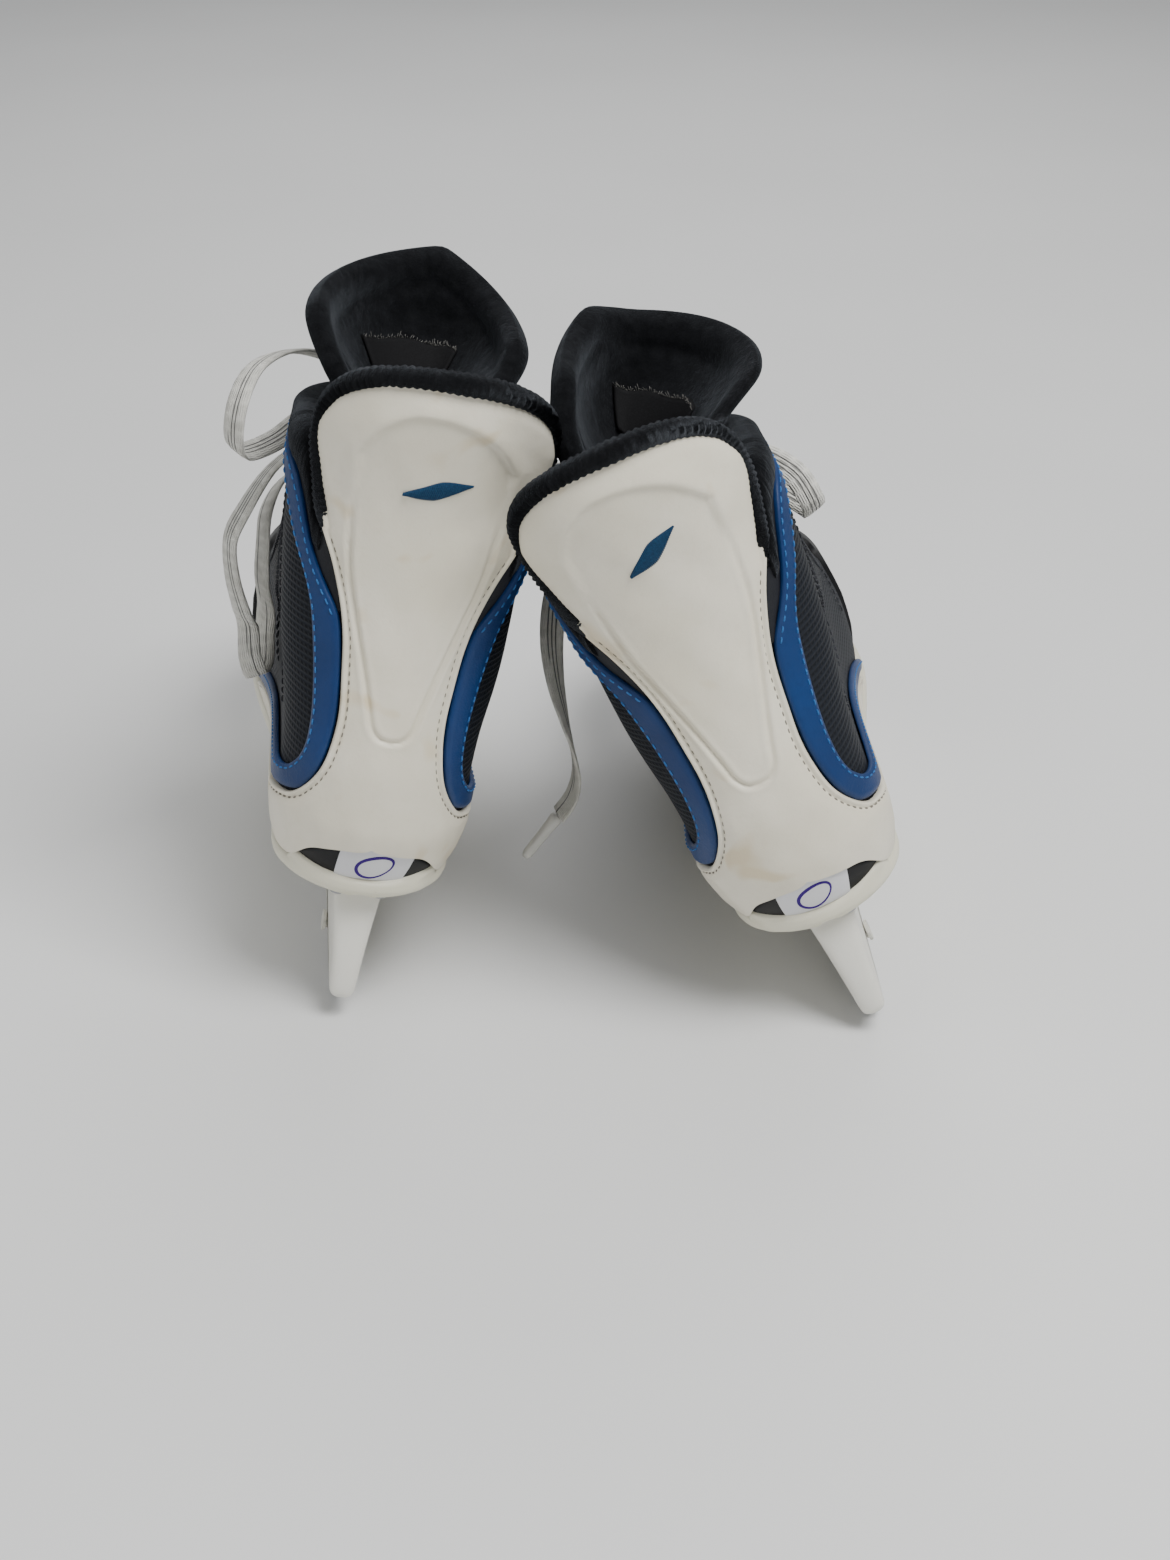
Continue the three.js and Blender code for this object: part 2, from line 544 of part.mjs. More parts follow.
// The free laces of each skate. Points are [a on that side, h, depth] beside the boot; the one end that
// hangs clear of it has its points in the skate's own frame.
const LOOPED = [[0.955, 124, -1], [0.935, 124, 5], [0.9, 122, 9.5], [0.84, 117, 10], [0.79, 112, 10],
  [0.75, 110, 13], [0.72, 113, 17], [0.71, 121, 19], [0.72, 131, 19], [0.76, 139, 18],
  [0.82, 142, 16], [0.88, 139, 14], [0.93, 134, 9], [0.958, 131.5, 3], [0.972, 130.5, -0.5]];
const DROPPED = [[0.955, 118, -1], [0.935, 116, 5.5], [0.9, 112, 9.5], [0.84, 105, 9], [0.78, 97, 10],
  [0.7, 88, 13], [0.62, 78, 16], [0.56, 66, 15], [0.51, 54, 13], [0.475, 43, 11.5], [0.45, 34, 10.5],
  [0.447, 28, 8], [0.468, 29, 5.2], [0.49, 38, 4.8], [0.52, 50, 4.8], [0.57, 63, 4.8],
  [0.64, 75, 4.8], [0.72, 84, 5.5], [0.79, 89, 7.5], [0.84, 92, 9]];
const HUNG_LOOP = [[0.944, 125, 2.2], [0.925, 125, 8.5], [0.9, 120, 10], [0.855, 113, 11],
  [0.83, 104, 10.5], [0.83, 95, 9], [0.855, 89, 8.5], [0.885, 91, 8.5], [0.905, 98, 8.5],
  [0.915, 107, 9], [0.925, 113, 8], [0.94, 118, 3.2]];
const SHORT_LOOP = [[0.955, 124, -1], [0.935, 124, 5], [0.9, 120, 9.5], [0.85, 114, 9], [0.8, 109, 9],
  [0.755, 104, 9], [0.72, 98, 8.5], [0.72, 91, 8], [0.755, 87, 8], [0.805, 90, 8.5],
  [0.855, 97, 8.5], [0.9, 106, 8.5], [0.937, 113, 5], [0.955, 116.5, 0]];
const UPRIGHT_LOOP = [[0.944, 125, 2.2], [0.925, 125, 8.5], [0.9, 123, 11], [0.865, 122, 14],
  [0.84, 125, 16], [0.84, 131, 16], [0.862, 135.5, 15], [0.895, 135.5, 13], [0.93, 133, 8],
  [0.958, 131.5, 3], [0.972, 130.5, -0.5]];
const DOWN_FRONT = [[0.985, 113, -4], [0.985, 106, -4.8], [0.985, 97, -4.8], [0.985, 88, -4.7],
  [0.985, 80, -4.4]];
const HANGING = [[-10, 97, 173], [-15, 105, 172.5], [-24, 110, 169], [-34, 108, 161],
  [-44, 99, 152], [-52, 92, 140], [-57, 88, 127], [-60, 86, 114], [-62.5, 86, 102], [-66, 86, 91],
  [-71.5, 86, 84], [-78, 86, 80]];
const FREE_LACES = {
  left: { loops: { lateral: LOOPED, medial: HUNG_LOOP }, ends: { lateral: DROPPED, medial: DOWN_FRONT } },
  right: {
    loops: { lateral: SHORT_LOOP, medial: UPRIGHT_LOOP },
    ends: { lateral: DOWN_FRONT, medial: HANGING },
  },
};

function laceCurve(points, side, medial) {
  const placed = points.map(([p, q, r]) =>
    Math.abs(p) < 2 ? offBoot(side * p, q, r, medial) : new THREE.Vector3(p, q, r),
  );
  return new THREE.CatmullRomCurve3(placed, false, "centripetal");
}

function laceTube(curve) {
  const section = new THREE.Shape();
  for (let i = 0; i < 8; i += 1) {
    const angle = (i * Math.PI) / 4;
    section[i === 0 ? "moveTo" : "lineTo"]((LACE / 2) * Math.cos(angle), (LACE / 2) * Math.sin(angle));
  }
  const steps = Math.ceil(curve.getLength() / (LACE * 2.2));
  return solidOf(new THREE.ExtrudeGeometry(section, { steps, extrudePath: curve, curveSegments: 1 }));
}

function aglet(curve) {
  const onward = curve.getTangentAt(1);
  const centre = curve.getPointAt(1).addScaledVector(onward, GAP * 2 + AGLET.length / 2);
  const geometry = new THREE.CylinderGeometry(AGLET.radius, AGLET.radius, AGLET.length, 10);
  const turn = new THREE.Quaternion().setFromUnitVectors(new THREE.Vector3(0, 1, 0), onward);
  geometry.applyQuaternion(turn).translate(centre.x, centre.y, centre.z);
  return solidOf(geometry);
}

// ---- Materials ----
const FINISH = {
  whiteLeather: { color: 0xe6e4d6, roughness: 0.55 },
  navyFabric: { color: 0x1f2733, roughness: 0.8 },
  blueLeather: { color: 0x24508c, roughness: 0.5 },
  darkLeather: { color: 0x23262c, roughness: 0.65 },
  blackFelt: { color: 0x101114, roughness: 0.95 },
  linerFabric: { color: 0x1b1d22, roughness: 0.9 },
  creamPlastic: { color: 0xe4dfc6, roughness: 0.4 },
  whitePlastic: { color: 0xeeeee6, roughness: 0.35 },
  blackPlastic: { color: 0x17181b, roughness: 0.45 },
  steel: { color: 0xb9bcc0, roughness: 0.3, metalness: 1 },
  board: { color: 0x8c7a60, roughness: 0.9 },
  lace: { color: 0xdcdad0, roughness: 0.85 },
  aglet: { color: 0xe8e8e4, roughness: 0.3 },
};

function meshOf(name, finish, solid) {
  const { numProp, vertProperties, triVerts } = solid.getMesh();
  const points = new Float32Array(vertProperties.length);
  points.set(vertProperties);
  const geometry = new THREE.BufferGeometry();
  geometry.setAttribute("position", new THREE.BufferAttribute(points, numProp));
  geometry.setIndex(new THREE.BufferAttribute(new Uint32Array(triVerts), 1));
  geometry.computeVertexNormals();
  const made = new THREE.Mesh(geometry, new THREE.MeshStandardMaterial(FINISH[finish]));
  made.name = name;
  return made;
}

// ---- One skate ----
function skate({ side, medial, cuff, y, turn, lean, flop }) {
  const group = new THREE.Group();
  const add = (name, finish, solid) => group.add(meshOf(`${side}_${name}`, finish, solid));
  const sides = { lateral: -medial, medial };

  add("runner", "steel", blade());
  add("blade_holder", "whitePlastic", holder(medial));
  for (const [place, at] of Object.entries(BOLTS)) add(`runner_bolt_${place}`, "steel", bolt(at));
  const outsole = { medial, inset: -OUTSOLE_PROUD, low: OUTSOLE_BOTTOM, high: -GAP };
  add("outsole", "creamPlastic", solePlate(outsole));
  const board = { medial, inset: SHEET + 2, low: 0, high: BOARD_THICKNESS };
  add("insole_board", "board", solePlate(board));
  const bedLow = BOARD_THICKNESS + GAP;
  const bed = { medial, level: 5, inset: -LINER_INNER + 1.5, low: bedLow, high: bedLow + FOOTBED_THICKNESS };
  add("footbed", "linerFabric", solePlate(bed));

  for (const [name, sign] of Object.entries(sides)) {
    add(`quarter_${name}`, "navyFabric", quarter(medial, sign));
    add(`band_${name}`, "blueLeather", band(medial, sign));
    add(`eyestay_${name}`, "darkLeather", eyestay(medial, sign));
  }
  add("toe_cap", "blackPlastic", toeCap(medial));
  add("heel_panel", "whiteLeather", heelPanel(medial));
  add("heel_insert", "blackPlastic", heelInsert(medial));
  add("heel_counter", "blackPlastic", heelCounter(medial));
  add("liner", "linerFabric", liner(medial));
  add("tendon_guard", "whiteLeather", tendonGuard(medial));
  add("guard_lining", "blackFelt", guardLining(medial));
  add("tongue", "blackFelt", tongue(medial));
  add("tongue_top", "blackFelt", tongueTop(medial, flop));

  add("lacing", "lace", lacing(medial));
  add("lace_knot", "lace", knot(medial));
  const { loops, ends } = FREE_LACES[side];
  for (const [name, sign] of Object.entries(sides)) {
    add(`lace_loop_${name}`, "lace", laceTube(laceCurve(loops[name], sign, medial)));
    const end = laceCurve(ends[name], sign, medial);
    add(`lace_end_${name}`, "lace", laceTube(end));
    add(`aglet_${name}`, "aglet", aglet(end));
  }

  // A leaning runner stands on one corner of its edge, so its middle is lifted by that much.
  const leaned = THREE.MathUtils.degToRad(lean);
  group.rotation.set(0, leaned, THREE.MathUtils.degToRad(turn), "ZYX");
  const foot = cuff - (HEEL_LIFT + NOTCH_HEIGHT) * Math.sin(leaned);
  group.position.set(foot, y, (RUNNER_WIDTH / 2) * Math.abs(Math.sin(leaned)));
  return group;
}

// ---- The pair, with its origin on the ice under the middle of its box, free laces aside ----
const pair = new THREE.Group();
for (const placed of SKATES) pair.add(skate(placed));
pair.updateMatrixWorld(true);
const box = new THREE.Box3();
pair.traverse((item) => {
  if (item.isMesh && !/lace_(loop|end)|aglet/.test(item.name)) box.expandByObject(item, true);
});
pair.position.set(-(box.min.x + box.max.x) / 2, -(box.min.y + box.max.y) / 2, -box.min.z);

export default pair;
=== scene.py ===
"""Looks for a pair of junior hockey skates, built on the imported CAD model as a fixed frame."""

import json
import math

import bmesh
import bpy
import numpy as np
from mathutils import Matrix, Vector


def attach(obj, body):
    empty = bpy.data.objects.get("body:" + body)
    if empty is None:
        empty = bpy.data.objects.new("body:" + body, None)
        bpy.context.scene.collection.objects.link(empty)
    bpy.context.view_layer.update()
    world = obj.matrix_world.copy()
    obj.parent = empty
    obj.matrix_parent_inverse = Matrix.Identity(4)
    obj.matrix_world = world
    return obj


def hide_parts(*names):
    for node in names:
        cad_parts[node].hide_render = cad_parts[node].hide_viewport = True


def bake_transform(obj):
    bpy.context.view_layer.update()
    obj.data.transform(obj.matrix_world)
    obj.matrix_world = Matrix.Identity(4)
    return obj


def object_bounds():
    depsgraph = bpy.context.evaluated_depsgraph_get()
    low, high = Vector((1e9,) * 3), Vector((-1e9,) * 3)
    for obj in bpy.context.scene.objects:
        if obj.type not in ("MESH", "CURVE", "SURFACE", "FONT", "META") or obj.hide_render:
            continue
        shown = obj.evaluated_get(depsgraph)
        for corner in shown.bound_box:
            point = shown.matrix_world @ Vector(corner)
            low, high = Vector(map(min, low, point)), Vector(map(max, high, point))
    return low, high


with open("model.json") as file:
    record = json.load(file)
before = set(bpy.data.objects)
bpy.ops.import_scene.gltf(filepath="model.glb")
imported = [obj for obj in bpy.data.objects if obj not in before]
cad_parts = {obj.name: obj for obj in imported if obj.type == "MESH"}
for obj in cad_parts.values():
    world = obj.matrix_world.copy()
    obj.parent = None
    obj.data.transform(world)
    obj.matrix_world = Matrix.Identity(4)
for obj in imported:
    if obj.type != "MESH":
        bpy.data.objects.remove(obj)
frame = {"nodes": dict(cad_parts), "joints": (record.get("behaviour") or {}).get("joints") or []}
CAD_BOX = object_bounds()

# ---- Sizes, in the millimetres of each skate's own frame, as in the CAD source ----
BOOT_LENGTH = 254.0
HEEL_HALF, CUFF_HALF, ANKLE_HALF, FOREFOOT_HALF = 31.0, 41.0, 38.0, 40.0
CUFF_DEPTH = 88.0
TOE_SWING = 10.0
CUFF_PRESS = 0.33
HEEL_LIFT, BALL_LIFT = 56.0, 47.0
ARCH_START, ARCH_END = 45.0, 185.0
COLLAR_HEIGHT, NOTCH_HEIGHT, GUARD_HEIGHT = 137.0, 112.0, 168.0
FACING = 0.9
CROWN, CROWN_DROP = 2.2, 24.0
ARCH_HALF = 0.195
CAP_EDGE = 0.68
TONGUE_OUTER = -11.2
LACE_WIDTH = 8.6
LACE_THICKNESS = 1.5
GUARD_HINGE = np.array([0.0, 10.6, 168.2])
TONGUE_HINGE = np.array([0.0, 81.0, 193.8])

SKATES = {
    "left": {"medial": 1, "turn": 6.5, "lean": 11.6, "shift": -3.0, "tilt": 2.0, "peak": 0.0},
    "right": {"medial": -1, "turn": 2.5, "lean": -25.0, "shift": 13.0, "tilt": 10.0, "peak": 0.2},
}
LEFT_CUFF = -47.8
LEFT_FOOT = LEFT_CUFF - (HEEL_LIFT + NOTCH_HEIGHT) * math.sin(math.radians(SKATES["left"]["lean"]))

# How far the cover's edge stands outside the CAD panel's edge, in a.
PANEL_SHIFT = 0.003

# Cloth simulation of the padding.
CLOTH_FRAMES = 16
CLOTH_PRESSURE = 4.0
GUARD_PAD_SWELL = 1.5
GUARD_PAD_SEAM = 12

BACK = [(0, 6), (8, 3), (22, 0), (36, 0.5), (52, 4), (75, 10), (100, 13.5), (120, 13), (140, 10.5),
        (155, 8), (192, 2)]
BACK_DEPTH = [(0, 25), (22, 29), (50, 32), (100, 31), (140, 30), (192, 30)]
REAR_HALF = [(0, HEEL_HALF - 4.5), (8, HEEL_HALF - 2), (18, HEEL_HALF - 0.5), (34, HEEL_HALF),
             (75, CUFF_HALF - 4), (100, CUFF_HALF - 1), (120, CUFF_HALF)]
INSTEP = CUFF_DEPTH + (BOOT_LENGTH - CUFF_DEPTH) * np.array([0.946, 0.874, 0.789, 0.669, 0.494, 0.38, 0.247,
                                                             0.145, 0.066, 0.024])
FRONT = [(0, BOOT_LENGTH - 11), (8, BOOT_LENGTH - 4), (20, BOOT_LENGTH), (30, BOOT_LENGTH - 2),
         *zip((38, 44, 48, 52, 62, 72, 86, 100, 115, 130), INSTEP), (150, CUFF_DEPTH), (192, CUFF_DEPTH + 2)]
FRONT_DEPTH = [(0, 62), (20, 60), (44, 50), (60, 46), (80, 41), (100, 37), (130, 34)]
FRONT_HALF = [(0, FOREFOOT_HALF - 5), (8, FOREFOOT_HALF - 1.5), (20, FOREFOOT_HALF),
              (35, FOREFOOT_HALF - 1), (48, FOREFOOT_HALF - 3.5), (60, ANKLE_HALF), (80, ANKLE_HALF),
              (130, ANKLE_HALF + 2)]
WAIST = [(0, 7), (20, 6), (50, 2.5), (80, 0)]
COLLAR = [(0, 111.7), (0.15, 111.7), (0.165, 113), (0.178, 119), (0.19, 125), (0.21, 131.5),
          (0.25, 135.5), (0.35, 137)]
GUARD_EDGE = [(112, 0.15), (119, 0.16), (131, 0.178), (141, 0.19), (168, 0.188)]
PANEL_EDGE = [(0.15, 111.7), (0.125, 102), (0.105, 90), (0.095, 79), (0.092, 67), (0.092, 57),
              (0.1, 48), (0.118, 38.3), (0.149, 30.1), (0.19, 24.1), (0.24, 21.6), (0.34, 18.3),
              (0.45, 14.5), (0.54, 9.4), (0.6, 3.4)]
PANEL_MIDDLE = [(0, 111.7), (0, 102), (0, 90), (0, 79), (0, 67), (0, 57), (0, 48), (0, 37.5), (0, 26),
                (0, 15), (0.105, 10.65), (0.193, 1.2), (0.3, 1), (0.45, 1), (0.58, 1)]
BAND_OUTER = [(0.78, 124.5), (0.55, 124.5), (0.4, 124.5), (0.31, 123), (0.265, 118.5), (0.235, 111),
              (0.207, 103), (0.18, 95), (0.163, 87), (0.155, 79), (0.15, 70), (0.149, 59),
              (0.153, 50), (0.165, 41.5), (0.19, 35), (0.235, 30), (0.33, 27.5), (0.44, 22.5),
              (0.54, 16), (0.62, 6)]
BAND_INNER = [(0.78, 130.5), (0.55, 130.5), (0.4, 130.5), (0.3, 129.5), (0.245, 126), (0.21, 119.5),
              (0.187, 111), (0.165, 102), (0.138, 94), (0.11, 86), (0.1, 76), (0.098, 62),
              (0.1035, 51), (0.12, 40.5), (0.147, 31.5), (0.192, 25.2), (0.34, 19), (0.45, 15.2),
              (0.545, 10), (0.612, 4)]
EMBOSS_SIDE = [(0, 50.8), (0.02, 51.6), (0.035, 55), (0.043, 61), (0.059, 73), (0.078, 87), (0.097, 104),
               (0.105, 122), (0.107, 141)]
EMBOSS_WIDTH = [(h, a) for a, h in EMBOSS_SIDE]
EMBOSS_TOP = [(-0.107, 142), (-0.079, 152), (-0.036, 158), (0.018, 157.5), (0.067, 152), (0.107, 142)]


def ease(t):
    c = np.clip(t, 0.0, 1.0)
    return c * c * (3 - 2 * c)


def lerp(a, b, t):
    return a + (b - a) * t


def along(table, x):
    """A smooth line through (position, value) pairs, level beyond its ends."""
    xs, ys = np.array(table, float).T
    x = np.clip(np.asarray(x, float), xs[0], xs[-1])
    slope = np.diff(ys) / np.diff(xs)
    before, after = slope[:-1], slope[1:]
    same = before * after > 0
    total = np.where(same, before + after, 1.0)
    tangent = np.concatenate([slope[:1], np.where(same, 2 * before * after / total, 0.0), slope[-1:]])
    i = np.clip(np.searchsorted(xs, x, side="right") - 1, 0, len(xs) - 2)
    width = xs[i + 1] - xs[i]
    t = (x - xs[i]) / width
    middle = lerp(ys[i], ys[i + 1], t * t * (3 - 2 * t))
    return middle + t * (1 - t) ** 2 * width * tangent[i] - t * t * (1 - t) * width * tangent[i + 1]


def spline(points, t):
    """Points of a smooth curve through points, at t from 0 to 1."""
    pts = np.array(points, float)
    last = len(pts) - 1
    place = np.clip(np.asarray(t, float), 0, 1) * last
    i = np.minimum(place.astype(int), last - 1)
    w = (place - i)[..., None]
    p1, p2 = pts[i], pts[i + 1]
    v1 = (p2 - pts[np.maximum(i - 1, 0)]) / 2
    v2 = (pts[np.minimum(i + 2, last)] - p1) / 2
    return (2 * p1 - 2 * p2 + v1 + v2) * w**3 + (3 * p2 - 3 * p1 - 2 * v1 - v2) * w**2 + v1 * w + p1


def sole_line(y):
    return lerp(HEEL_LIFT, BALL_LIFT, ease((y - ARCH_START) / (ARCH_END - ARCH_START)))


def on_boot(a, h, medial):
    """The upper's surface: a round the boot, h above the sole line."""
    a, h = np.broadcast_arrays(np.asarray(a, float), np.asarray(h, float))
    turn = (a + 1) % 2 - 1
    side = np.where(turn >= 0, 1.0, -1.0)
    s = np.abs(turn)
    back, back_depth = along(BACK, h), along(BACK_DEPTH, h)
    front, front_depth = along(FRONT, h), along(FRONT_DEPTH, h)
    rear_half, front_half = along(REAR_HALF, h), along(FRONT_HALF, h)
    heel = np.clip(s / 0.3, 0, 1) * math.pi / 2
    toe = np.clip((s - 0.7) / 0.3, 0, 1) * math.pi / 2
    t = np.clip((s - 0.3) / 0.4, 0, 1)
    pinch = along(WAIST, h) * np.where(side == medial, 1.3, 0.7) * np.sin(math.pi * t) ** 2
    x = np.where(s < 0.3, rear_half * np.sin(heel), lerp(rear_half, front_half, ease(t)) - pinch)
    x = np.where(s < 0.7, x, front_half * np.cos(toe))
    y = np.where(s < 0.3, back + back_depth * (1 - np.cos(heel)),
                 lerp(back + back_depth, front - front_depth, t))
    y = np.where(s < 0.7, y, front - front_depth + front_depth * np.sin(toe))
    press = 1 - CUFF_PRESS * ease((h - 50) / 70) * ease((s - 0.14) / 0.26)
    x = np.where(side == medial, x * press, x)
    swing = medial * TOE_SWING * (np.maximum(0, y - 100) / 150) ** 2
    return np.stack([side * x + swing, y, sole_line(y) + h], -1)


def normal_at(a, h, medial):
    round_ = on_boot(a + 0.001, h, medial) - on_boot(a - 0.001, h, medial)
    up = on_boot(a, h + 0.2, medial) - on_boot(a, h - 0.2, medial)
    n = np.cross(round_, up)
    return n / np.linalg.norm(n, axis=-1, keepdims=True)


def off_boot(a, h, depth, medial):
    a, h, depth = np.broadcast_arrays(*(np.asarray(v, float) for v in (a, h, depth)))
    return on_boot(a, h, medial) + normal_at(a, h, medial) * depth[..., None]


# ---- Placing: each skate's own frame in the row frame, from its joint anchors ----
ANCHORS = {j["name"]: np.array(j.get("pos_m", (0, 0, 0)), float) * 1000 for j in frame["joints"]}


class Place:
    def __init__(self, side):
        told = SKATES[side]
        self.side, self.medial = side, told["medial"]
        self.shift, self.tilt, self.peak = told["shift"], told["tilt"], told["peak"]
        lean, turn = math.radians(told["lean"]), math.radians(told["turn"])
        self.turned = np.array(Matrix.Rotation(turn, 3, "Z") @ Matrix.Rotation(lean, 3, "Y"))
        self.moved = ANCHORS[side + "_guard_flex"] - self.turned @ GUARD_HINGE

    def row(self, points):
        """Millimetres of the skate's own frame to metres of the row frame."""
        return (np.asarray(points, float) @ self.turned.T + self.moved) / 1000

    def off(self, a, h, depth):
        return off_boot(a, h, depth, self.medial)


PLACES = {side: Place(side) for side in SKATES}


def arc_table(medial, sign):
    s = np.linspace(0, 1, 201)
    line = on_boot(sign * s, np.full(201, 60.0), medial)
    return s, np.concatenate([[0], np.cumsum(np.linalg.norm(np.diff(line, axis=0), axis=1))])


ARCS = {(m, s): arc_table(m, s) for m in (1, -1) for s in (1, -1)}


def arc(a, medial):
    """Length round the boot, in millimetres, from the back of the heel to a."""
    a = np.asarray(a, float)
    plus, minus = ARCS[(medial, 1)], ARCS[(medial, -1)]
    return np.where(a >= 0, np.interp(np.abs(a), *plus), -np.interp(np.abs(a), *minus))


# ---- Camera ----
def make_camera():
    data = bpy.data.cameras.new("camera")
    data.sensor_width = 36
    data.lens = 55.4
    data.clip_start = 0.01
    camera = bpy.data.objects.new("camera", data)
    bpy.context.scene.collection.objects.link(camera)
    left = PLACES["left"].moved - np.array([LEFT_FOOT, 0, 0])
    camera.location = (left[0] / 1000, left[1] / 1000 - 0.652, 0.456)
    camera.rotation_euler = (math.radians(90 - 29.0), 0, 0)
    bpy.context.scene.camera = camera


make_camera()


# ---- Mesh helpers ----
def mesh_object(name, points, faces, look, uv=None):
    mesh = bpy.data.meshes.new(name)
    mesh.from_pydata([tuple(p) for p in points], [], [tuple(f) for f in faces])
    mesh.validate()
    if uv is not None:
        layer = mesh.uv_layers.new(name="UVMap")
        corner = np.empty(len(mesh.loops), np.int32)
        mesh.loops.foreach_get("vertex_index", corner)
        layer.data.foreach_set("uv", np.asarray(uv, np.float32)[corner].ravel())
    mesh.polygons.foreach_set("use_smooth", np.ones(len(mesh.polygons), bool))
    mesh.materials.append(look)
    made = bpy.data.objects.new(name, mesh)
    bpy.context.scene.collection.objects.link(made)
    return made


def grid_faces(rows, cols, start=0, flip=False):
    j, i = np.meshgrid(np.arange(rows - 1), np.arange(cols - 1), indexing="ij")
    a = (start + j * cols + i).ravel()
    quads = np.stack([a, a + 1, a + cols + 1, a + cols], 1)
    return (quads[:, ::-1] if flip else quads).tolist()


def shell_faces(rows, cols):
    """Faces of an outer grid, an inner grid and the walls between them."""
    layer = rows * cols
    faces = grid_faces(rows, cols) + grid_faces(rows, cols, layer, True)
    rim = [j * cols for j in range(rows)][::-1] + list(range(1, cols))
    rim += [j * cols + cols - 1 for j in range(1, rows)]
    rim += list(range((rows - 1) * cols + 1, rows * cols - 1))[::-1] + [(rows - 1) * cols]
    for p, q in zip(rim[:-1], rim[1:]):
        faces.append((q, p, p + layer, q + layer))
    return faces


def spread(count, border):
    """Stations from 0 to 1, closer within border of each end so that an edge can be rounded."""
    near = border * np.array([0, 0.08, 0.25, 0.5, 0.75])
    middle = np.linspace(border, 1 - border, max(2, count - 10))
    return np.concatenate([near, middle, 1 - near[::-1]])


def edge_distance(points):
    """Distance of each point of a (rows, cols, 3) grid to the grid's outline, in the grid's units."""
    across = np.linalg.norm(np.diff(points, axis=1), axis=2)
    down = np.linalg.norm(np.diff(points, axis=0), axis=2)
    left = np.concatenate([np.zeros((len(points), 1)), np.cumsum(across, 1)], 1)
    top = np.concatenate([np.zeros((1, points.shape[1])), np.cumsum(down, 0)], 0)
    return np.minimum(np.minimum(left, left[:, -1:] - left), np.minimum(top, top[-1:] - top))


def rounded(distance, radius):
    """Height from 0 at an edge to 1 at radius from it, on a quarter ellipse."""
    t = np.clip(distance / radius, 0, 1)
    return np.sqrt(np.maximum(0, 1 - (1 - t) ** 2))


def ride(obj, body, slot, *nodes):
    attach(obj, body)
    if nodes:
        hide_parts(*nodes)
    return obj


def bend(obj, place, part, slot, *nodes):
    """Bakes obj's placement into its mesh and hides the nodes it replaces; obj is not bent over the guard's
    or tongue flap's hinge.
    """
    hinge, body, half = {
        "guard": (GUARD_HINGE, "_guard", 8.0),
        "tongue": (TONGUE_HINGE, "_tongue_flap", 9.0),
    }[part]
    ends = [place.row(hinge + np.array([0, 0, d])) for d in (-half, half)]
    if nodes:
        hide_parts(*nodes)
    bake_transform(obj)
    return obj


def sheet_piece(name, place, where, look, low, high, cols, rows, radius=1.2, relief=None):
    """A sheet on the boot: where(u, v) gives (a, h); it runs from depth low to high, edges rounded."""
    v, u = np.meshgrid(spread(rows, 0.5 * radius / rows), spread(cols, 0.5 * radius / cols), indexing="ij")
    a, h = where(u, v)
    base = on_boot(a, h, place.medial)
    far = edge_distance(base)
    lift = high if not callable(high) else high(a, h)
    floor = low if not callable(low) else low(a, h)
    depth = floor + (lift - floor) * (0.25 + 0.75 * rounded(far, radius))
    if relief is not None:
        depth = depth + relief(a, h, base, far)
    outer = place.off(a, h, depth)
    inner = place.off(a, h, floor)
    points = np.concatenate([outer.reshape(-1, 3), inner.reshape(-1, 3)])
    uv = np.stack([arc(a, place.medial), h], -1).reshape(-1, 2) / 100
    return mesh_object(name, place.row(points), shell_faces(*a.shape), look, uv=np.concatenate([uv, uv]))


def tube(centres, frames, outline):
    """Vertices and faces of outline (m, 2) swept along centres with frames of (across, out) pairs."""
    n, m = len(centres), len(outline)
    scale = outline if outline.ndim == 3 else np.broadcast_to(outline, (n, m, 2))
    points = centres[:, None] + scale[..., :1] * frames[0][:, None] + scale[..., 1:] * frames[1][:, None]
    faces = []
    for j in range(n - 1):
        for i in range(m):
            p, q = j * m + i, j * m + (i + 1) % m
            faces.append((p, q, q + m, p + m))
    faces.append(tuple(range(m))[::-1])
    faces.append(tuple((n - 1) * m + i for i in range(m)))
    return points.reshape(-1, 3), faces


def unit(v):
    return v / np.maximum(np.linalg.norm(v, axis=-1, keepdims=True), 1e-9)


def carried_frames(line, first, twist=0.0):
    """(across, out) at each point of line; out starts near first and is carried along without turning."""
    tangent = unit(np.gradient(line, axis=0))
    out = np.empty_like(line)
    now = np.asarray(first, float)
    for i, t in enumerate(tangent):
        now = now - t * (now @ t)
        now = now / np.linalg.norm(now)
        out[i] = now
    across = np.cross(tangent, out)
    angle = np.broadcast_to(np.asarray(twist, float), (len(line),))[:, None]
    return (across * np.cos(angle) + out * np.sin(angle), out * np.cos(angle) - across * np.sin(angle))


def flat_outline(width, thickness):
    """A flat lace's section: two faces with rounded edges."""
    x = np.linspace(-1, 1, 5)
    w, t = width / 2, thickness / 2
    top = [(w * p, t * (1 - 0.35 * p**8) - 0.12 * p * p) for p in x[1:-1]]
    low = [(w * p, -t * (1 - 0.35 * p**8) - 0.12 * p * p) for p in x[1:-1][::-1]]
    return np.array([(-w, 0), (-w * 0.96, t * 0.6), *top, (w * 0.96, t * 0.6), (w, 0),
                     (w * 0.96, -t * 0.6), *low, (-w * 0.96, -t * 0.6)])[::-1]


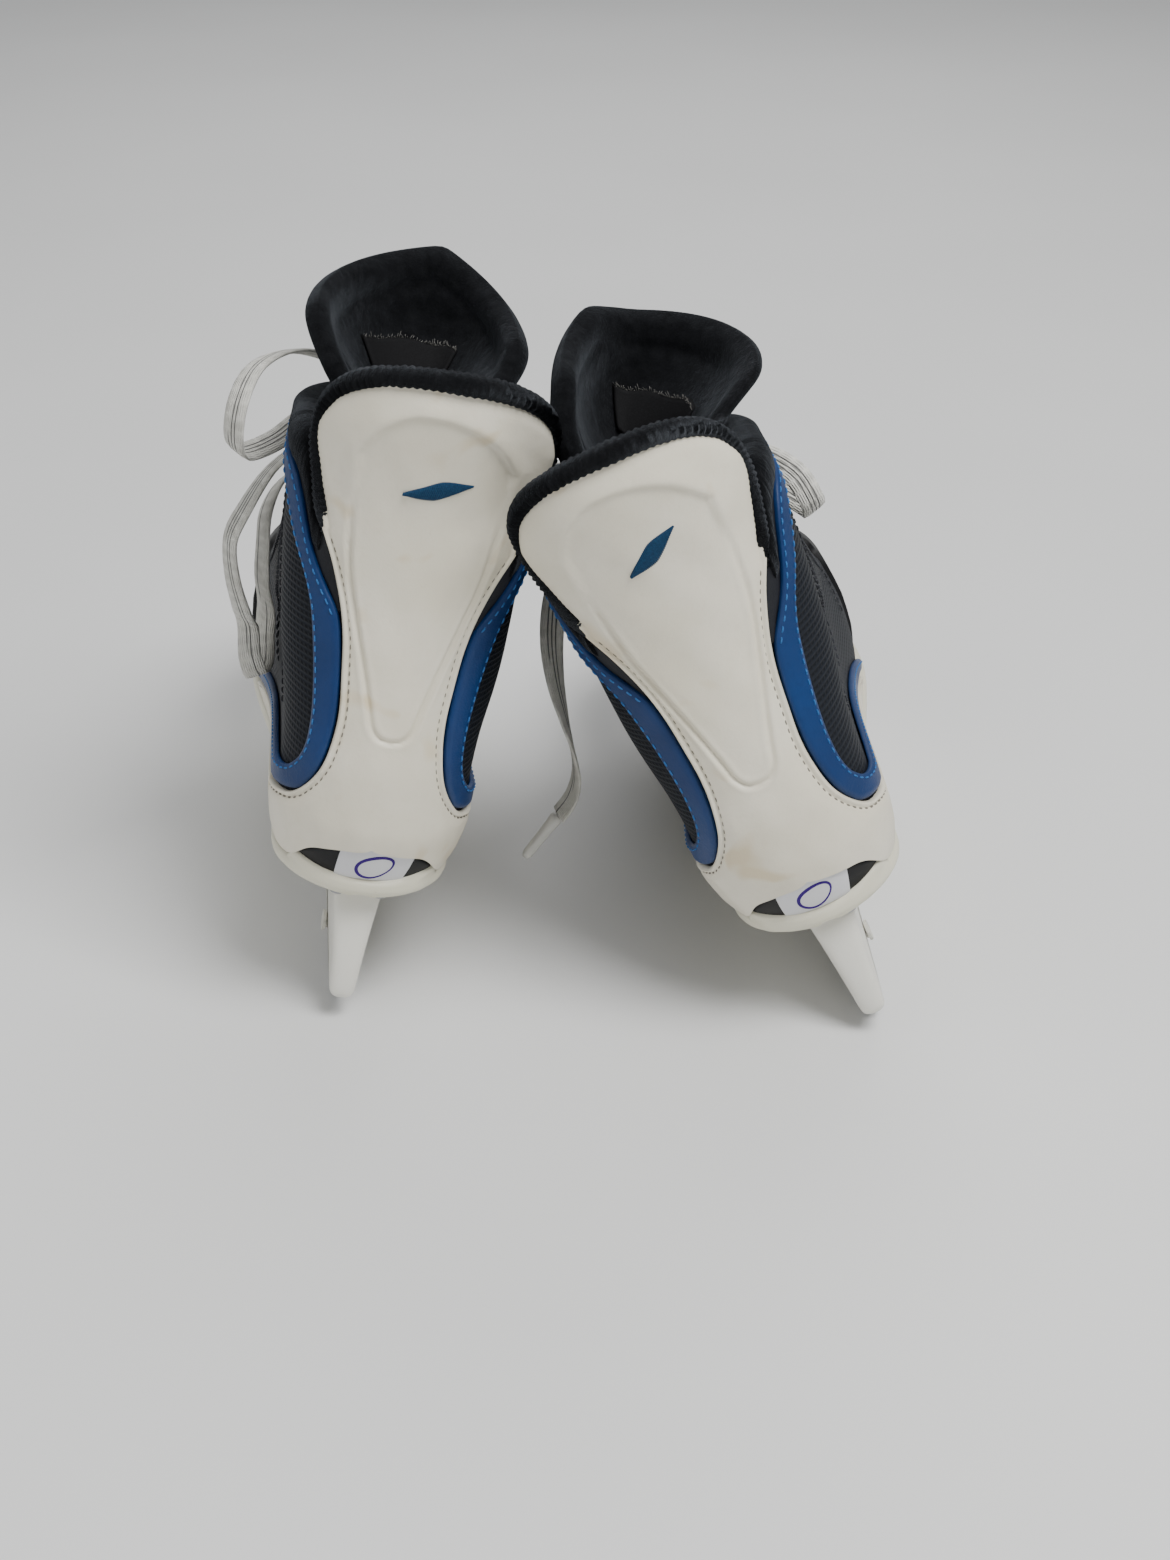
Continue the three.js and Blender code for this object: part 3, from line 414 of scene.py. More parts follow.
def ribbon(name, line, frames, look):
    """A flat lace along line, in metres; the section is in millimetres."""
    outline = flat_outline(LACE_WIDTH, LACE_THICKNESS)
    points, faces = tube(line, frames, outline / 1000)
    run = np.concatenate([[0], np.cumsum(np.linalg.norm(np.diff(line, axis=0), axis=1))]) * 10
    uv = np.stack([np.tile(outline[:, 0] / 10, len(line)), np.repeat(run, len(outline))], 1)
    return mesh_object(name, points, faces, look, uv=uv)


def resample(line, step):
    run = np.concatenate([[0], np.cumsum(np.linalg.norm(np.diff(line, axis=0), axis=1))])
    count = max(3, int(round(run[-1] / step)) + 1)
    at = np.linspace(0, run[-1], count)
    return np.stack([np.interp(at, run, line[:, k]) for k in range(3)], 1)


def surface_line(place, line, depth, step):
    """An (a, h) polyline as evenly spaced points on the boot, with the (a, h) of each."""
    t = np.linspace(0, 1, 600)
    ah = spline(line, t)
    pts = place.off(ah[:, 0], ah[:, 1], depth)
    run = np.concatenate([[0], np.cumsum(np.linalg.norm(np.diff(pts, axis=0), axis=1))])
    at = np.arange(step / 2, run[-1], step)
    return np.stack([np.interp(at, run, ah[:, k]) for k in range(2)], 1)


def stitches(name, place, lines, depth, look, length=2.5, gap=1.3, radius=0.34):
    """Rows of raised stitches along (a, h) lines, each a thread that dips in at both ends."""
    ring = np.array([(math.cos(k * math.pi / 3), math.sin(k * math.pi / 3)) for k in range(6)])
    along_ = np.array([-0.5, -0.42, -0.2, 0.2, 0.42, 0.5]) * length
    fat = np.array([0.35, 0.8, 1.0, 1.0, 0.8, 0.35]) * radius
    dip = np.array([-1.3, -0.3, 0.15, 0.15, -0.3, -1.3]) * radius
    points, faces = [], []
    for line in lines:
        ah = surface_line(place, line, depth, length + gap)
        centre = place.off(ah[:, 0], ah[:, 1], depth)
        if len(centre) < 3:
            continue
        tangent = unit(np.gradient(centre, axis=0))
        out = normal_at(ah[:, 0], ah[:, 1], place.medial)
        across = np.cross(tangent, out)
        for c, t, n, x in zip(centre, tangent, out, across):
            start = len(points)
            for s, f, d in zip(along_, fat, dip):
                points.extend(c + t * s + n * (d + f * r[1]) + x * f * r[0] for r in ring)
            for j in range(5):
                for k in range(6):
                    p, q = start + j * 6 + k, start + j * 6 + (k + 1) % 6
                    faces.append((p, q, q + 6, p + 6))
            faces.append(tuple(start + k for k in range(6))[::-1])
            faces.append(tuple(start + 30 + k for k in range(6)))
    return mesh_object(name, place.row(np.array(points)), faces, look)


# ---- Materials ----
class Look:
    """A node material, built up from its main shader."""

    def __init__(self, name, **sockets):
        self.material = bpy.data.materials.new(name)
        self.material.use_nodes = True
        self.tree = self.material.node_tree
        self.shader = self.tree.nodes["Principled BSDF"]
        for key, value in sockets.items():
            self.shader.inputs[key.replace("_", " ")].default_value = value
        self.where = self.tree.nodes.new("ShaderNodeTexCoord").outputs["Object"]
        self.bumps = None

    def node(self, kind, values=None, **settings):
        made = self.tree.nodes.new("ShaderNode" + kind)
        for key, value in settings.items():
            setattr(made, key, value)
        for key, value in (values or {}).items():
            if isinstance(value, bpy.types.NodeSocket):
                self.tree.links.new(value, made.inputs[key])
            else:
                made.inputs[key].default_value = value
        return made

    def noise(self, scale, detail=3.0, rough=0.55, where=None, distortion=0.0):
        values = {"Vector": where or self.where, "Scale": scale, "Detail": detail, "Roughness": rough,
                  "Distortion": distortion}
        return self.node("TexNoise", values).outputs["Fac"]

    def cells(self, scale):
        values = {"Vector": self.where, "Scale": scale}
        return self.node("TexVoronoi", values, feature="F1").outputs["Distance"]

    def math(self, operation, a, b=0.0):
        return self.node("Math", {0: a, 1: b}, operation=operation).outputs[0]

    def span(self, value, low, high, to_low=0.0, to_high=1.0):
        values = {"Value": value, "From Min": low, "From Max": high, "To Min": to_low, "To Max": to_high}
        return self.node("MapRange", values).outputs["Result"]

    def mix(self, share, a, b):
        made = self.node("Mix", data_type="RGBA")
        for place, value in ((0, share), (6, a), (7, b)):
            if isinstance(value, bpy.types.NodeSocket):
                self.tree.links.new(value, made.inputs[place])
            elif place:
                made.inputs[place].default_value = (*value, 1.0)
            else:
                made.inputs[place].default_value = value
        return made.outputs[2]

    def uv(self):
        return self.node("UVMap", uv_map="UVMap").outputs[0]

    def bump(self, height, strength, distance):
        values = {"Height": height, "Strength": strength, "Distance": distance}
        if self.bumps is not None:
            values["Normal"] = self.bumps
        self.bumps = self.node("Bump", values).outputs[0]

    def finish(self, colour, rough=None):
        self.tree.links.new(colour, self.shader.inputs["Base Color"])
        if rough is not None:
            self.tree.links.new(rough, self.shader.inputs["Roughness"])
        if self.bumps is not None:
            self.tree.links.new(self.bumps, self.shader.inputs["Normal"])
        return self.material


def leather(name, base, dark, rough, grain=0.5, stain=None, coat=0.0, shine=0.5):
    look = Look(name, Coat_Weight=coat, Coat_Roughness=0.3, Specular_IOR_Level=shine)
    broad = look.noise(26, 3)
    fine = look.noise(420, 4)
    colour = look.mix(look.span(broad, 0.35, 0.75), base, dark)
    colour = look.mix(look.span(fine, 0.5, 0.8, 0, 0.35), colour, dark)
    if stain:
        spots = look.span(look.noise(48, 2, 0.4, distortion=0.6), 0.64, 0.74, 0, 0.6)
        colour = look.mix(spots, colour, stain)
        scuffs = look.span(look.noise(160, 5, 0.75), 0.68, 0.78, 0, 0.3)
        colour = look.mix(scuffs, colour, tuple(c * 0.72 for c in stain))
    look.bump(look.cells(1500), 0.22 * grain, 0.00012)
    look.bump(look.noise(650, 3), 0.3 * grain, 0.0003)
    look.bump(look.noise(60, 2), 0.25, 0.0012)
    return look.finish(colour, look.span(broad, 0.3, 0.7, rough - 0.06, rough + 0.07))


def felt(name, base, lint):
    look = Look(name, Roughness=0.98, Sheen_Weight=0.22, Sheen_Roughness=0.4)
    look.shader.inputs["Sheen Tint"].default_value = (0.5, 0.55, 0.62, 1)
    look.shader.inputs["Specular IOR Level"].default_value = 0.12
    fuzz = look.noise(2600, 5, 0.7)
    nap = look.noise(240, 4, 0.6)
    colour = look.mix(look.span(nap, 0.3, 0.75), base, tuple(c * 2.3 + 0.004 for c in base))
    colour = look.mix(look.span(fuzz, 0.5, 0.75, 0, 0.5), colour, tuple(c * 3 + 0.01 for c in base))
    fibre = look.noise(900, 6, 0.85, distortion=2.5)
    specks = look.math("MULTIPLY", look.span(fibre, 0.71, 0.75), look.span(look.noise(70, 2), 0.48, 0.62))
    colour = look.mix(look.math("MULTIPLY", specks, 0.5), colour, lint)
    look.bump(fuzz, 0.8, 0.0005)
    look.bump(nap, 0.5, 0.0012)
    return look.finish(colour)


def woven(name, base, thread, pitch, rough=0.62):
    """Fabric with fine ribs; pitch is the threads' spacing in millimetres."""
    look = Look(name, Specular_IOR_Level=0.22)
    flat = look.uv()
    count = 100 / pitch
    waves = []
    for axis in ("X", "Y"):
        values = {"Vector": flat, "Scale": count * 0.5 / math.pi * 0.5, "Distortion": 0.25, "Detail": 1.0,
                  "Detail Scale": 8.0}
        made = look.node("TexWave", values, bands_direction=axis, wave_profile="SIN")
        waves.append(made.outputs["Fac"])
    ribs = look.math("MAXIMUM", look.math("MULTIPLY", waves[0], 0.62), waves[1])
    broad = look.noise(30, 3)
    colour = look.mix(look.span(ribs, 0.25, 0.95), base, thread)
    colour = look.mix(look.span(broad, 0.35, 0.75, 0, 0.35), colour, base)
    look.bump(ribs, 0.7, 0.0004)
    look.bump(look.noise(1800, 2), 0.25, 0.0002)
    return look.finish(colour, look.span(ribs, 0, 1, rough + 0.12, rough - 0.05))


def moulded(name, base, marks, rough, coat=0.0, shine=0.5):
    look = Look(name, Coat_Weight=coat, Coat_Roughness=0.22, Specular_IOR_Level=shine)
    broad = look.noise(22, 3)
    colour = look.mix(look.span(broad, 0.3, 0.75), base, tuple(c * 0.9 for c in base))
    scratches = look.node("Mapping", {"Vector": look.where, "Scale": (1, 0.12, 1)}).outputs[0]
    worn = look.span(look.noise(520, 5, 0.75, where=scratches), 0.63, 0.74, 0, 0.6)
    colour = look.mix(worn, colour, marks)
    look.bump(look.noise(1400, 3), 0.12, 0.0002)
    look.bump(worn, 0.2, -0.0002)
    return look.finish(colour, look.span(broad, 0.3, 0.75, rough - 0.06, rough + 0.08))


def steel(name, base, rough):
    look = Look(name, Metallic=1.0)
    drawn = look.node("Mapping", {"Vector": look.where, "Scale": (1, 0.02, 1)}).outputs[0]
    lines = look.noise(2600, 4, 0.7, where=drawn)
    rust = look.span(look.noise(210, 6, 0.75), 0.64, 0.72, 0, 0.5)
    colour = look.mix(look.span(lines, 0.3, 0.7), base, tuple(c * 0.7 for c in base))
    colour = look.mix(rust, colour, (0.16, 0.08, 0.045))
    look.bump(lines, 0.25, 0.0001)
    return look.finish(colour, look.span(lines, 0.3, 0.7, rough - 0.08, rough + 0.12))


def lace_look(name):
    look = Look(name, Roughness=0.85, Sheen_Weight=0.2)
    parts = look.node("SeparateXYZ", {0: look.uv()})
    x, y = parts.outputs[0], parts.outputs[1]
    weft = look.math("SINE", look.math("MULTIPLY", y, 10 * 2 * math.pi / 0.9))
    warp = look.math("SINE", look.math("MULTIPLY", x, 10 * 2 * math.pi / 0.8))
    weave = look.math("MULTIPLY", weft, warp)
    colour = look.mix(look.span(look.noise(300, 3), 0.35, 0.7), (0.62, 0.61, 0.55), (0.78, 0.77, 0.71))
    colour = look.mix(look.span(weave, -1, 1, 0.25, 0), colour, (0.3, 0.29, 0.26))
    for middle in (-0.11, 0.03, 0.17):
        away = look.math("ABSOLUTE", look.math("SUBTRACT", x, middle))
        on = look.span(away, 0.018, 0.034, 1, 0)
        dash = look.span(look.math("SINE", look.math("ADD", look.math("MULTIPLY", y, 2.6), middle * 9)),
                         -0.35, -0.25, 0, 0.85)
        colour = look.mix(look.math("MULTIPLY", on, dash), colour, (0.018, 0.018, 0.022))
    look.bump(weave, 0.6, 0.0003)
    look.bump(look.noise(2200, 3), 0.4, 0.0002)
    return look.finish(colour)


def thread(name, base, dark):
    look = Look(name, Roughness=0.8, Specular_IOR_Level=0.2)
    twist = look.noise(2400, 3, 0.6)
    colour = look.mix(look.span(twist, 0.35, 0.7), base, dark)
    look.bump(twist, 0.5, 0.0002)
    return look.finish(colour)


WHITE = leather("white_leather", (0.78, 0.735, 0.61), (0.69, 0.64, 0.5), 0.45, 0.8, (0.62, 0.5, 0.3), 0.1)
BLUE = leather("blue_leather", (0.004, 0.033, 0.13), (0.0025, 0.021, 0.088), 0.45, 1.1, shine=0.35)
DARK = leather("dark_leather", (0.008, 0.009, 0.012), (0.014, 0.015, 0.019), 0.55, 1.6, shine=0.3)
OLIVE = leather("facing_piping", (0.12, 0.1, 0.06), (0.06, 0.05, 0.035), 0.5, 1.4)
WEAVE = woven("side_weave", (0.003, 0.0042, 0.007), (0.0085, 0.0115, 0.018), 0.5)
KNIT = woven("liner_knit", (0.003, 0.0034, 0.0045), (0.01, 0.011, 0.014), 1.1, 0.8)
FELT = felt("black_felt", (0.0018, 0.002, 0.0026), (0.36, 0.36, 0.34))
HOLDER = moulded("holder_plastic", (0.8, 0.785, 0.71), (0.55, 0.53, 0.47), 0.36, 0.25)
CREAM = moulded("outsole_plastic", (0.76, 0.73, 0.58), (0.5, 0.45, 0.33), 0.42, 0.1)
BLACK = moulded("black_plastic", (0.004, 0.004, 0.005), (0.02, 0.02, 0.022), 0.5, shine=0.25)
BOARD = moulded("fibre_board", (0.24, 0.18, 0.12), (0.4, 0.33, 0.24), 0.85)
STEEL = steel("ground_steel", (0.6, 0.61, 0.62), 0.32)
BOLT = steel("plated_steel", (0.42, 0.42, 0.44), 0.38)
PAINTED = moulded("painted_steel", (0.74, 0.725, 0.65), (0.4, 0.39, 0.36), 0.4)
LACE = lace_look("lace_weave")
AGLET = moulded("aglet_sleeve", (0.72, 0.71, 0.66), (0.5, 0.5, 0.47), 0.3, 0.5)
THREAD_TAN = thread("thread_tan", (0.24, 0.22, 0.18), (0.12, 0.11, 0.09))
THREAD_BLUE = thread("thread_blue", (0.045, 0.17, 0.42), (0.02, 0.09, 0.27))
THREAD_DARK = thread("thread_dark", (0.02, 0.022, 0.026), (0.05, 0.052, 0.06))
THREAD_NAVY = thread("thread_navy", (0.006, 0.03, 0.075), (0.014, 0.06, 0.13))
PAPER = moulded("paper_label", (0.72, 0.72, 0.74), (0.55, 0.55, 0.56), 0.75)
INK = thread("purple_ink", (0.035, 0.01, 0.16), (0.06, 0.02, 0.22))
PATCH = thread("woven_label", (0.0025, 0.0025, 0.003), (0.007, 0.007, 0.008))
FRAY = thread("frayed_thread", (0.3, 0.29, 0.27), (0.14, 0.14, 0.13))

# ---- Free laces ----
LOOPED = [(0.955, 124, -1), (0.935, 124, 5), (0.9, 122, 9.5), (0.84, 117, 10), (0.79, 112, 10),
          (0.75, 110, 13), (0.72, 113, 17), (0.71, 121, 19), (0.72, 131, 19), (0.76, 139, 18),
          (0.82, 142, 16), (0.88, 139, 14), (0.93, 134, 9), (0.958, 131.5, 3), (0.972, 130.5, -0.5)]
DROPPED = [(0.955, 118, -1), (0.935, 116, 5.5), (0.9, 112, 9.5), (0.84, 105, 9), (0.78, 97, 10),
           (0.7, 88, 13), (0.62, 78, 16), (0.56, 66, 15), (0.51, 54, 13), (0.475, 43, 11.5),
           (0.45, 34, 10.5), (0.447, 28, 8), (0.468, 29, 5.2), (0.49, 38, 4.8), (0.52, 50, 4.8),
           (0.57, 63, 4.8), (0.64, 75, 4.8), (0.72, 84, 5.5), (0.79, 89, 7.5), (0.84, 92, 9)]
HUNG_LOOP = [(0.944, 125, 2.2), (0.925, 125, 8.5), (0.9, 120, 10), (0.855, 113, 11), (0.83, 104, 10.5),
             (0.83, 95, 9), (0.855, 89, 8.5), (0.885, 91, 8.5), (0.905, 98, 8.5), (0.915, 107, 9),
             (0.925, 113, 8), (0.94, 118, 3.2)]
SHORT_LOOP = [(0.955, 124, -1), (0.935, 124, 5), (0.9, 120, 9.5), (0.85, 114, 9), (0.8, 109, 9),
              (0.755, 104, 9), (0.72, 98, 8.5), (0.72, 91, 8), (0.755, 87, 8), (0.805, 90, 8.5),
              (0.855, 97, 8.5), (0.9, 106, 8.5), (0.937, 113, 5), (0.955, 116.5, 0)]
UPRIGHT_LOOP = [(0.944, 125, 2.2), (0.925, 125, 8.5), (0.9, 123, 11), (0.865, 122, 14), (0.84, 125, 16),
                (0.84, 131, 16), (0.862, 135.5, 15), (0.895, 135.5, 13), (0.93, 133, 8),
                (0.958, 131.5, 3), (0.972, 130.5, -0.5)]
DOWN_FRONT = [(0.985, 113, -4), (0.985, 106, -4.8), (0.985, 97, -4.8), (0.985, 88, -4.7),
              (0.985, 80, -4.4)]
HANGING = [(-10, 97, 173), (-15, 105, 172.5), (-24, 110, 169), (-34, 108, 161), (-44, 99, 152),
           (-52, 92, 140), (-57, 88, 127), (-60, 86, 114), (-62.5, 86, 102), (-66, 86, 91),
           (-71.5, 86, 84), (-78, 86, 80)]
FREE_LACES = {
    "left": {"loop_lateral": LOOPED, "loop_medial": HUNG_LOOP, "end_lateral": DROPPED,
             "end_medial": DOWN_FRONT},
    "right": {"loop_lateral": SHORT_LOOP, "loop_medial": UPRIGHT_LOOP, "end_lateral": DOWN_FRONT,
              "end_medial": HANGING},
}
TWISTS = {"left": {"loop_lateral": (1.2, 1.7), "loop_medial": (0.4, 1.2), "end_lateral": (0.3, 2.2),
                   "end_medial": (0.0, 0.3)},
          "right": {"loop_lateral": (1.0, 1.8), "loop_medial": (0.2, 1.6), "end_lateral": (0.0, 0.3),
                    "end_medial": (0.3, 3.4)}}


def lace_curve(points, count=14):
    """The smooth curve of the CAD laces through points: centripetal, with its ends run on."""
    pts = np.array(points, float)
    pts = np.concatenate([[2 * pts[0] - pts[1]], pts, [2 * pts[-1] - pts[-2]]])
    out = []
    for i in range(1, len(pts) - 2):
        p0, p1, p2, p3 = pts[i - 1:i + 3]
        d0, d1, d2 = (np.sqrt(np.linalg.norm(q - p)) for p, q in ((p0, p1), (p1, p2), (p2, p3)))
        m1 = ((p1 - p0) / d0 - (p2 - p0) / (d0 + d1) + (p2 - p1) / d1) * d1
        m2 = ((p2 - p1) / d1 - (p3 - p1) / (d1 + d2) + (p3 - p2) / d2) * d1
        for t in np.arange(count) / count:
            out.append((2 * t**3 - 3 * t**2 + 1) * p1 + (t**3 - 2 * t**2 + t) * m1
                       + (3 * t**2 - 2 * t**3) * p2 + (t**3 - t**2) * m2)
    out.append(pts[-2])
    return np.array(out)


def aglet(name, place, end, direction, body, node):
    """A pinched plastic sleeve on a lace's end."""
    line = end + direction * np.linspace(0.4, 20.6, 14)[:, None]
    width = np.interp(np.linspace(0, 1, 14), [0, 0.05, 0.2, 0.85, 0.97, 1], [2.1, 2.5, 2.2, 1.9, 1.8, 1.2])
    thick = np.interp(np.linspace(0, 1, 14), [0, 0.05, 0.2, 0.85, 0.97, 1], [1.4, 1.6, 1.6, 1.7, 1.6, 0.9])
    angle = np.arange(14) * 2 * math.pi / 14
    outline = np.stack([width[:, None] * np.cos(angle), thick[:, None] * np.sin(angle)], -1)
    frames = carried_frames(line, (0.3, -0.8, 0.6))
    points, faces = tube(line, frames, outline)
    return ride(mesh_object(name, place.row(points), faces, AGLET), body, "aglet", node)


def free_laces(place):
    side, body = place.side, place.side + "_boot"
    for name, points in FREE_LACES[side].items():
        sign = -place.medial if name.endswith("lateral") else place.medial
        placed = [place.off(sign * p, q, r) if abs(p) < 2 else np.array((p, q, r)) for p, q, r in points]
        line = resample(lace_curve(placed), 2.5)
        first, last = TWISTS[side][name]
        start = place.off(sign * 0.9, 110, 10) - place.off(sign * 0.9, 110, 0)
        twist = lerp(first, last, ease(np.linspace(0, 1, len(line))))
        across, out = carried_frames(line, start, twist)
        node = f"{side}_lace_{name}"
        row = place.row(line)
        turn = place.turned.T
        piece = ribbon(node + "_flat", row, (across @ turn, out @ turn), LACE)
        ride(piece, body, "lace", node)
        pieces = []
        if "_end_" in node:
            tip = node.replace("lace_end", "aglet")
            pieces = [aglet(tip + "_sleeve", place, line[-1], unit(line[-1] - line[-2]), body, tip)]


# ---- White heel cover: the tendon guard and the heel panel under it, one piece of leather ----
def heel_half(sign, cols=34, guard_rows=56, panel_rows=150):
    """(a, h) of one half of the cover, from its middle line (column 0) to its edge."""
    u = 1 - (1 - np.linspace(0, 1, cols)) ** 1.25
    crown = (1 - u**CROWN) ** (1 / CROWN)
    top = lerp(GUARD_HEIGHT - CROWN_DROP, GUARD_HEIGHT, crown)
    v = 1 - np.linspace(0, 1, guard_rows, endpoint=False) ** 1.15
    h = lerp(NOTCH_HEIGHT - 0.3, top[None], v[:, None])
    a = u[None] * along(GUARD_EDGE, h)
    w = np.linspace(0, 1, panel_rows)
    middle = spline(PANEL_MIDDLE, w)[:, None]
    edge = (spline(PANEL_EDGE, w) + (PANEL_SHIFT, 0))[:, None]
    low = middle + (edge - middle) * u[None, :, None]
    a = np.concatenate([a, low[..., 0]])
    h = np.concatenate([h, low[..., 1]])
    return sign * a, h


def line_distance(points, line):
    """Distance from each point to a dense polyline."""
    flat = points.reshape(-1, 3)
    best = np.full(len(flat), 1e9)
    for p, q in zip(line[:-1], line[1:]):
        d = q - p
        t = np.clip(((flat - p) @ d) / (d @ d), 0, 1)
        best = np.minimum(best, np.linalg.norm(flat - (p + t[:, None] * d), axis=1))
    return best.reshape(points.shape[:-1])


def emboss_line(place):
    """The tongue-shaped line pressed into the cover: its top arc and its two long sides."""
    t = np.linspace(0, 1, 60)
    arc_ = spline(EMBOSS_TOP, t)
    right = spline(EMBOSS_SIDE, t)
    left = right * (-1, 1)
    loop = np.concatenate([arc_, right[::-1], left[1:]])
    return on_boot(loop[:, 0], loop[:, 1], place.medial)


def heel_cover(place):
    line = emboss_line(place)
    points, uvs, faces, start = [], [], [], 0
    for sign in (1, -1):
        a, h = heel_half(sign)
        base = on_boot(a, h, place.medial)
        # Distance to the cover's edge and to its foot, but not to the middle line.
        across = np.linalg.norm(np.diff(base[:, ::-1], axis=1), axis=2)
        far = np.concatenate([np.zeros((len(a), 1)), np.cumsum(across, 1)], 1)[:, ::-1]
        down = np.linalg.norm(np.diff(base, axis=0), axis=2)
        drop = np.concatenate([np.zeros((1, a.shape[1])), np.cumsum(down, 0)], 0)
        far = np.minimum(far, np.minimum(drop, drop[-1:] - drop))
        away = line_distance(base, line)
        lift = 2.3 * (0.3 + 0.7 * rounded(far, 1.5))
        lift += 0.5 * np.exp(-((far - 1.3) / 0.8) ** 2)  # welt along the edge
        lift -= 0.7 * np.exp(-((far - 2.4) / 0.5) ** 2)  # the stitched channel
        lift += 0.5 * ease((far - 3) / 4)
        lift += 1.5 * ease((h - 120) / 30) * ease(far / 14)  # padding in the guard
        puff = np.sin(h / 7.3 + 31 * a) * np.sin(h / 12.1 - 44 * a) + 0.6 * np.sin(h / 4.7 + 80 * a)
        lift += 0.16 * puff * ease((far - 3) / 6)
        welt = ease((h - 112) / 26)
        lift -= (1 - welt) * (1.15 * np.exp(-(away / 0.75) ** 2) - 0.3 * np.exp(-((away - 1.6) / 0.8) ** 2))
        inside = (np.abs(a) < along(EMBOSS_WIDTH, h)) & (h < along(EMBOSS_TOP, a))
        ridge = np.where(inside, np.exp(-(away / 0.8) ** 2), np.exp(-(away / 4.0) ** 2))
        lift += 1.35 * welt * ridge
        lift = np.where((h < 26) & (np.abs(a) > 0.2), np.minimum(lift, 2.6), lift)
        outer = place.off(a, h, lift)
        inner = place.off(a, h, 0.35)
        rows, cols = a.shape
        points += [outer.reshape(-1, 3), inner.reshape(-1, 3)]
        uv = np.stack([arc(a, place.medial), h], -1).reshape(-1, 2) / 100
        uvs += [uv, uv]
        made = [f for f in shell_faces(rows, cols) if any(i % cols for i in f)]
        made = [f[::-1] for f in made] if sign < 0 else made
        faces += [tuple(start + i for i in f) for f in made]
        start += 2 * rows * cols
    name = place.side + "_heel_cover"
    made = mesh_object(name, place.row(np.concatenate(points)), faces, WHITE, uv=np.concatenate(uvs))
    weld(made, 2e-5)
    bend(made, place, "guard", "white_leather", place.side + "_heel_panel", place.side + "_tendon_guard")
    edges = []
    for sign in (1, -1):
        t = np.linspace(0.02, 0.985, 40)
        inward = spline(PANEL_MIDDLE, t)
        edge = spline(PANEL_EDGE, t)
        across = place.off(inward[:, 0], inward[:, 1], 0) - place.off(edge[:, 0], edge[:, 1], 0)
        width = np.linalg.norm(across, axis=1)
        inset = edge + (inward - edge) * np.minimum(0.45, 2.4 / width)[:, None]
        edges.append(inset * (sign, 1))
    arch = [(x, 15 * (1 - (x / ARCH_HALF) ** 2) + 2.6) for x in np.linspace(-0.165, 0.165, 15)]
    seam = stitches(place.side + "_heel_cover_stitches", place, [*edges, arch], 1.9, THREAD_TAN, 1.9, 0.9,
                    0.33)
    bend(seam, place, "guard", "white_leather")


def weld(obj, distance):
    made = bmesh.new()
    made.from_mesh(obj.data)
    bmesh.ops.remove_doubles(made, verts=made.verts, dist=distance)
    bmesh.ops.recalc_face_normals(made, faces=made.faces)
    made.to_mesh(obj.data)
    made.free()


def motif(place):
    """A plain lozenge of satin stitches on the guard."""
    points, faces = [], []
    ring = np.array([(math.cos(k * math.pi / 3), math.sin(k * math.pi / 3)) for k in range(6)])
    middle, count = MOTIF[place.side], 34
    tilt = math.radians(18 if place.side == "left" else 32)
    for i in range(count):
        x = lerp(-9.5, 9.5, i / (count - 1))
        half = 3.1 * (1 - abs(x / 10.2) ** 1.4) + 0.15
        start = len(points)
        for t in np.linspace(-1, 1, 7):
            px, pz = x + 1.3 * t * half * 0.4, t * half
            qx = px * math.cos(tilt) - pz * math.sin(tilt)
            qz = px * math.sin(tilt) + pz * math.cos(tilt)
            a, h = middle[0] + qx / 208, middle[1] + qz
            lift = 4.0 + 0.65 * (1 - t**4) - 0.75
            fat = 0.36 * (1 if abs(t) < 0.99 else 0.5)
            for r in ring:
                points.append(place.off(a + fat * r[0] / 208, h, lift + fat * r[1]))
        for j in range(6):
            for k in range(6):
                p, q = start + j * 6 + k, start + j * 6 + (k + 1) % 6
                faces.append((p, q, q + 6, p + 6))
        faces.append(tuple(start + k for k in range(6))[::-1])
        faces.append(tuple(start + 36 + k for k in range(6)))
    made = mesh_object(place.side + "_guard_motif", place.row(np.array(points)), faces, THREAD_NAVY)
    bend(made, place, "guard", "white_leather")


MOTIF = {"left": (0.005, 134.0), "right": (0.005, 134.0)}


# ---- Guard padding and its felt binding ----
def guard_line(count=90, low=NOTCH_HEIGHT - 6, inset=0.0):
    """(a, h) round the guard's outline, from one notch over the top to the other."""
    theta = np.linspace(-1, 1, count)
    side_share = 0.42
    out = []
    for t in theta:
        s, m = math.copysign(1, t), abs(t)
        if m > 1 - side_share:
            h = lerp(GUARD_HEIGHT - CROWN_DROP, low, (m - (1 - side_share)) / side_share)
            out.append((s * (float(along(GUARD_EDGE, h)) - inset), h))
        else:
            angle = m / (1 - side_share) * math.pi / 2
            u, c = math.sin(angle) ** (2 / CROWN), math.cos(angle) ** (2 / CROWN)
            h = lerp(GUARD_HEIGHT - CROWN_DROP, GUARD_HEIGHT, c)
            out.append((s * u * (float(along(GUARD_EDGE, h)) - inset), h))
    return np.array(out)


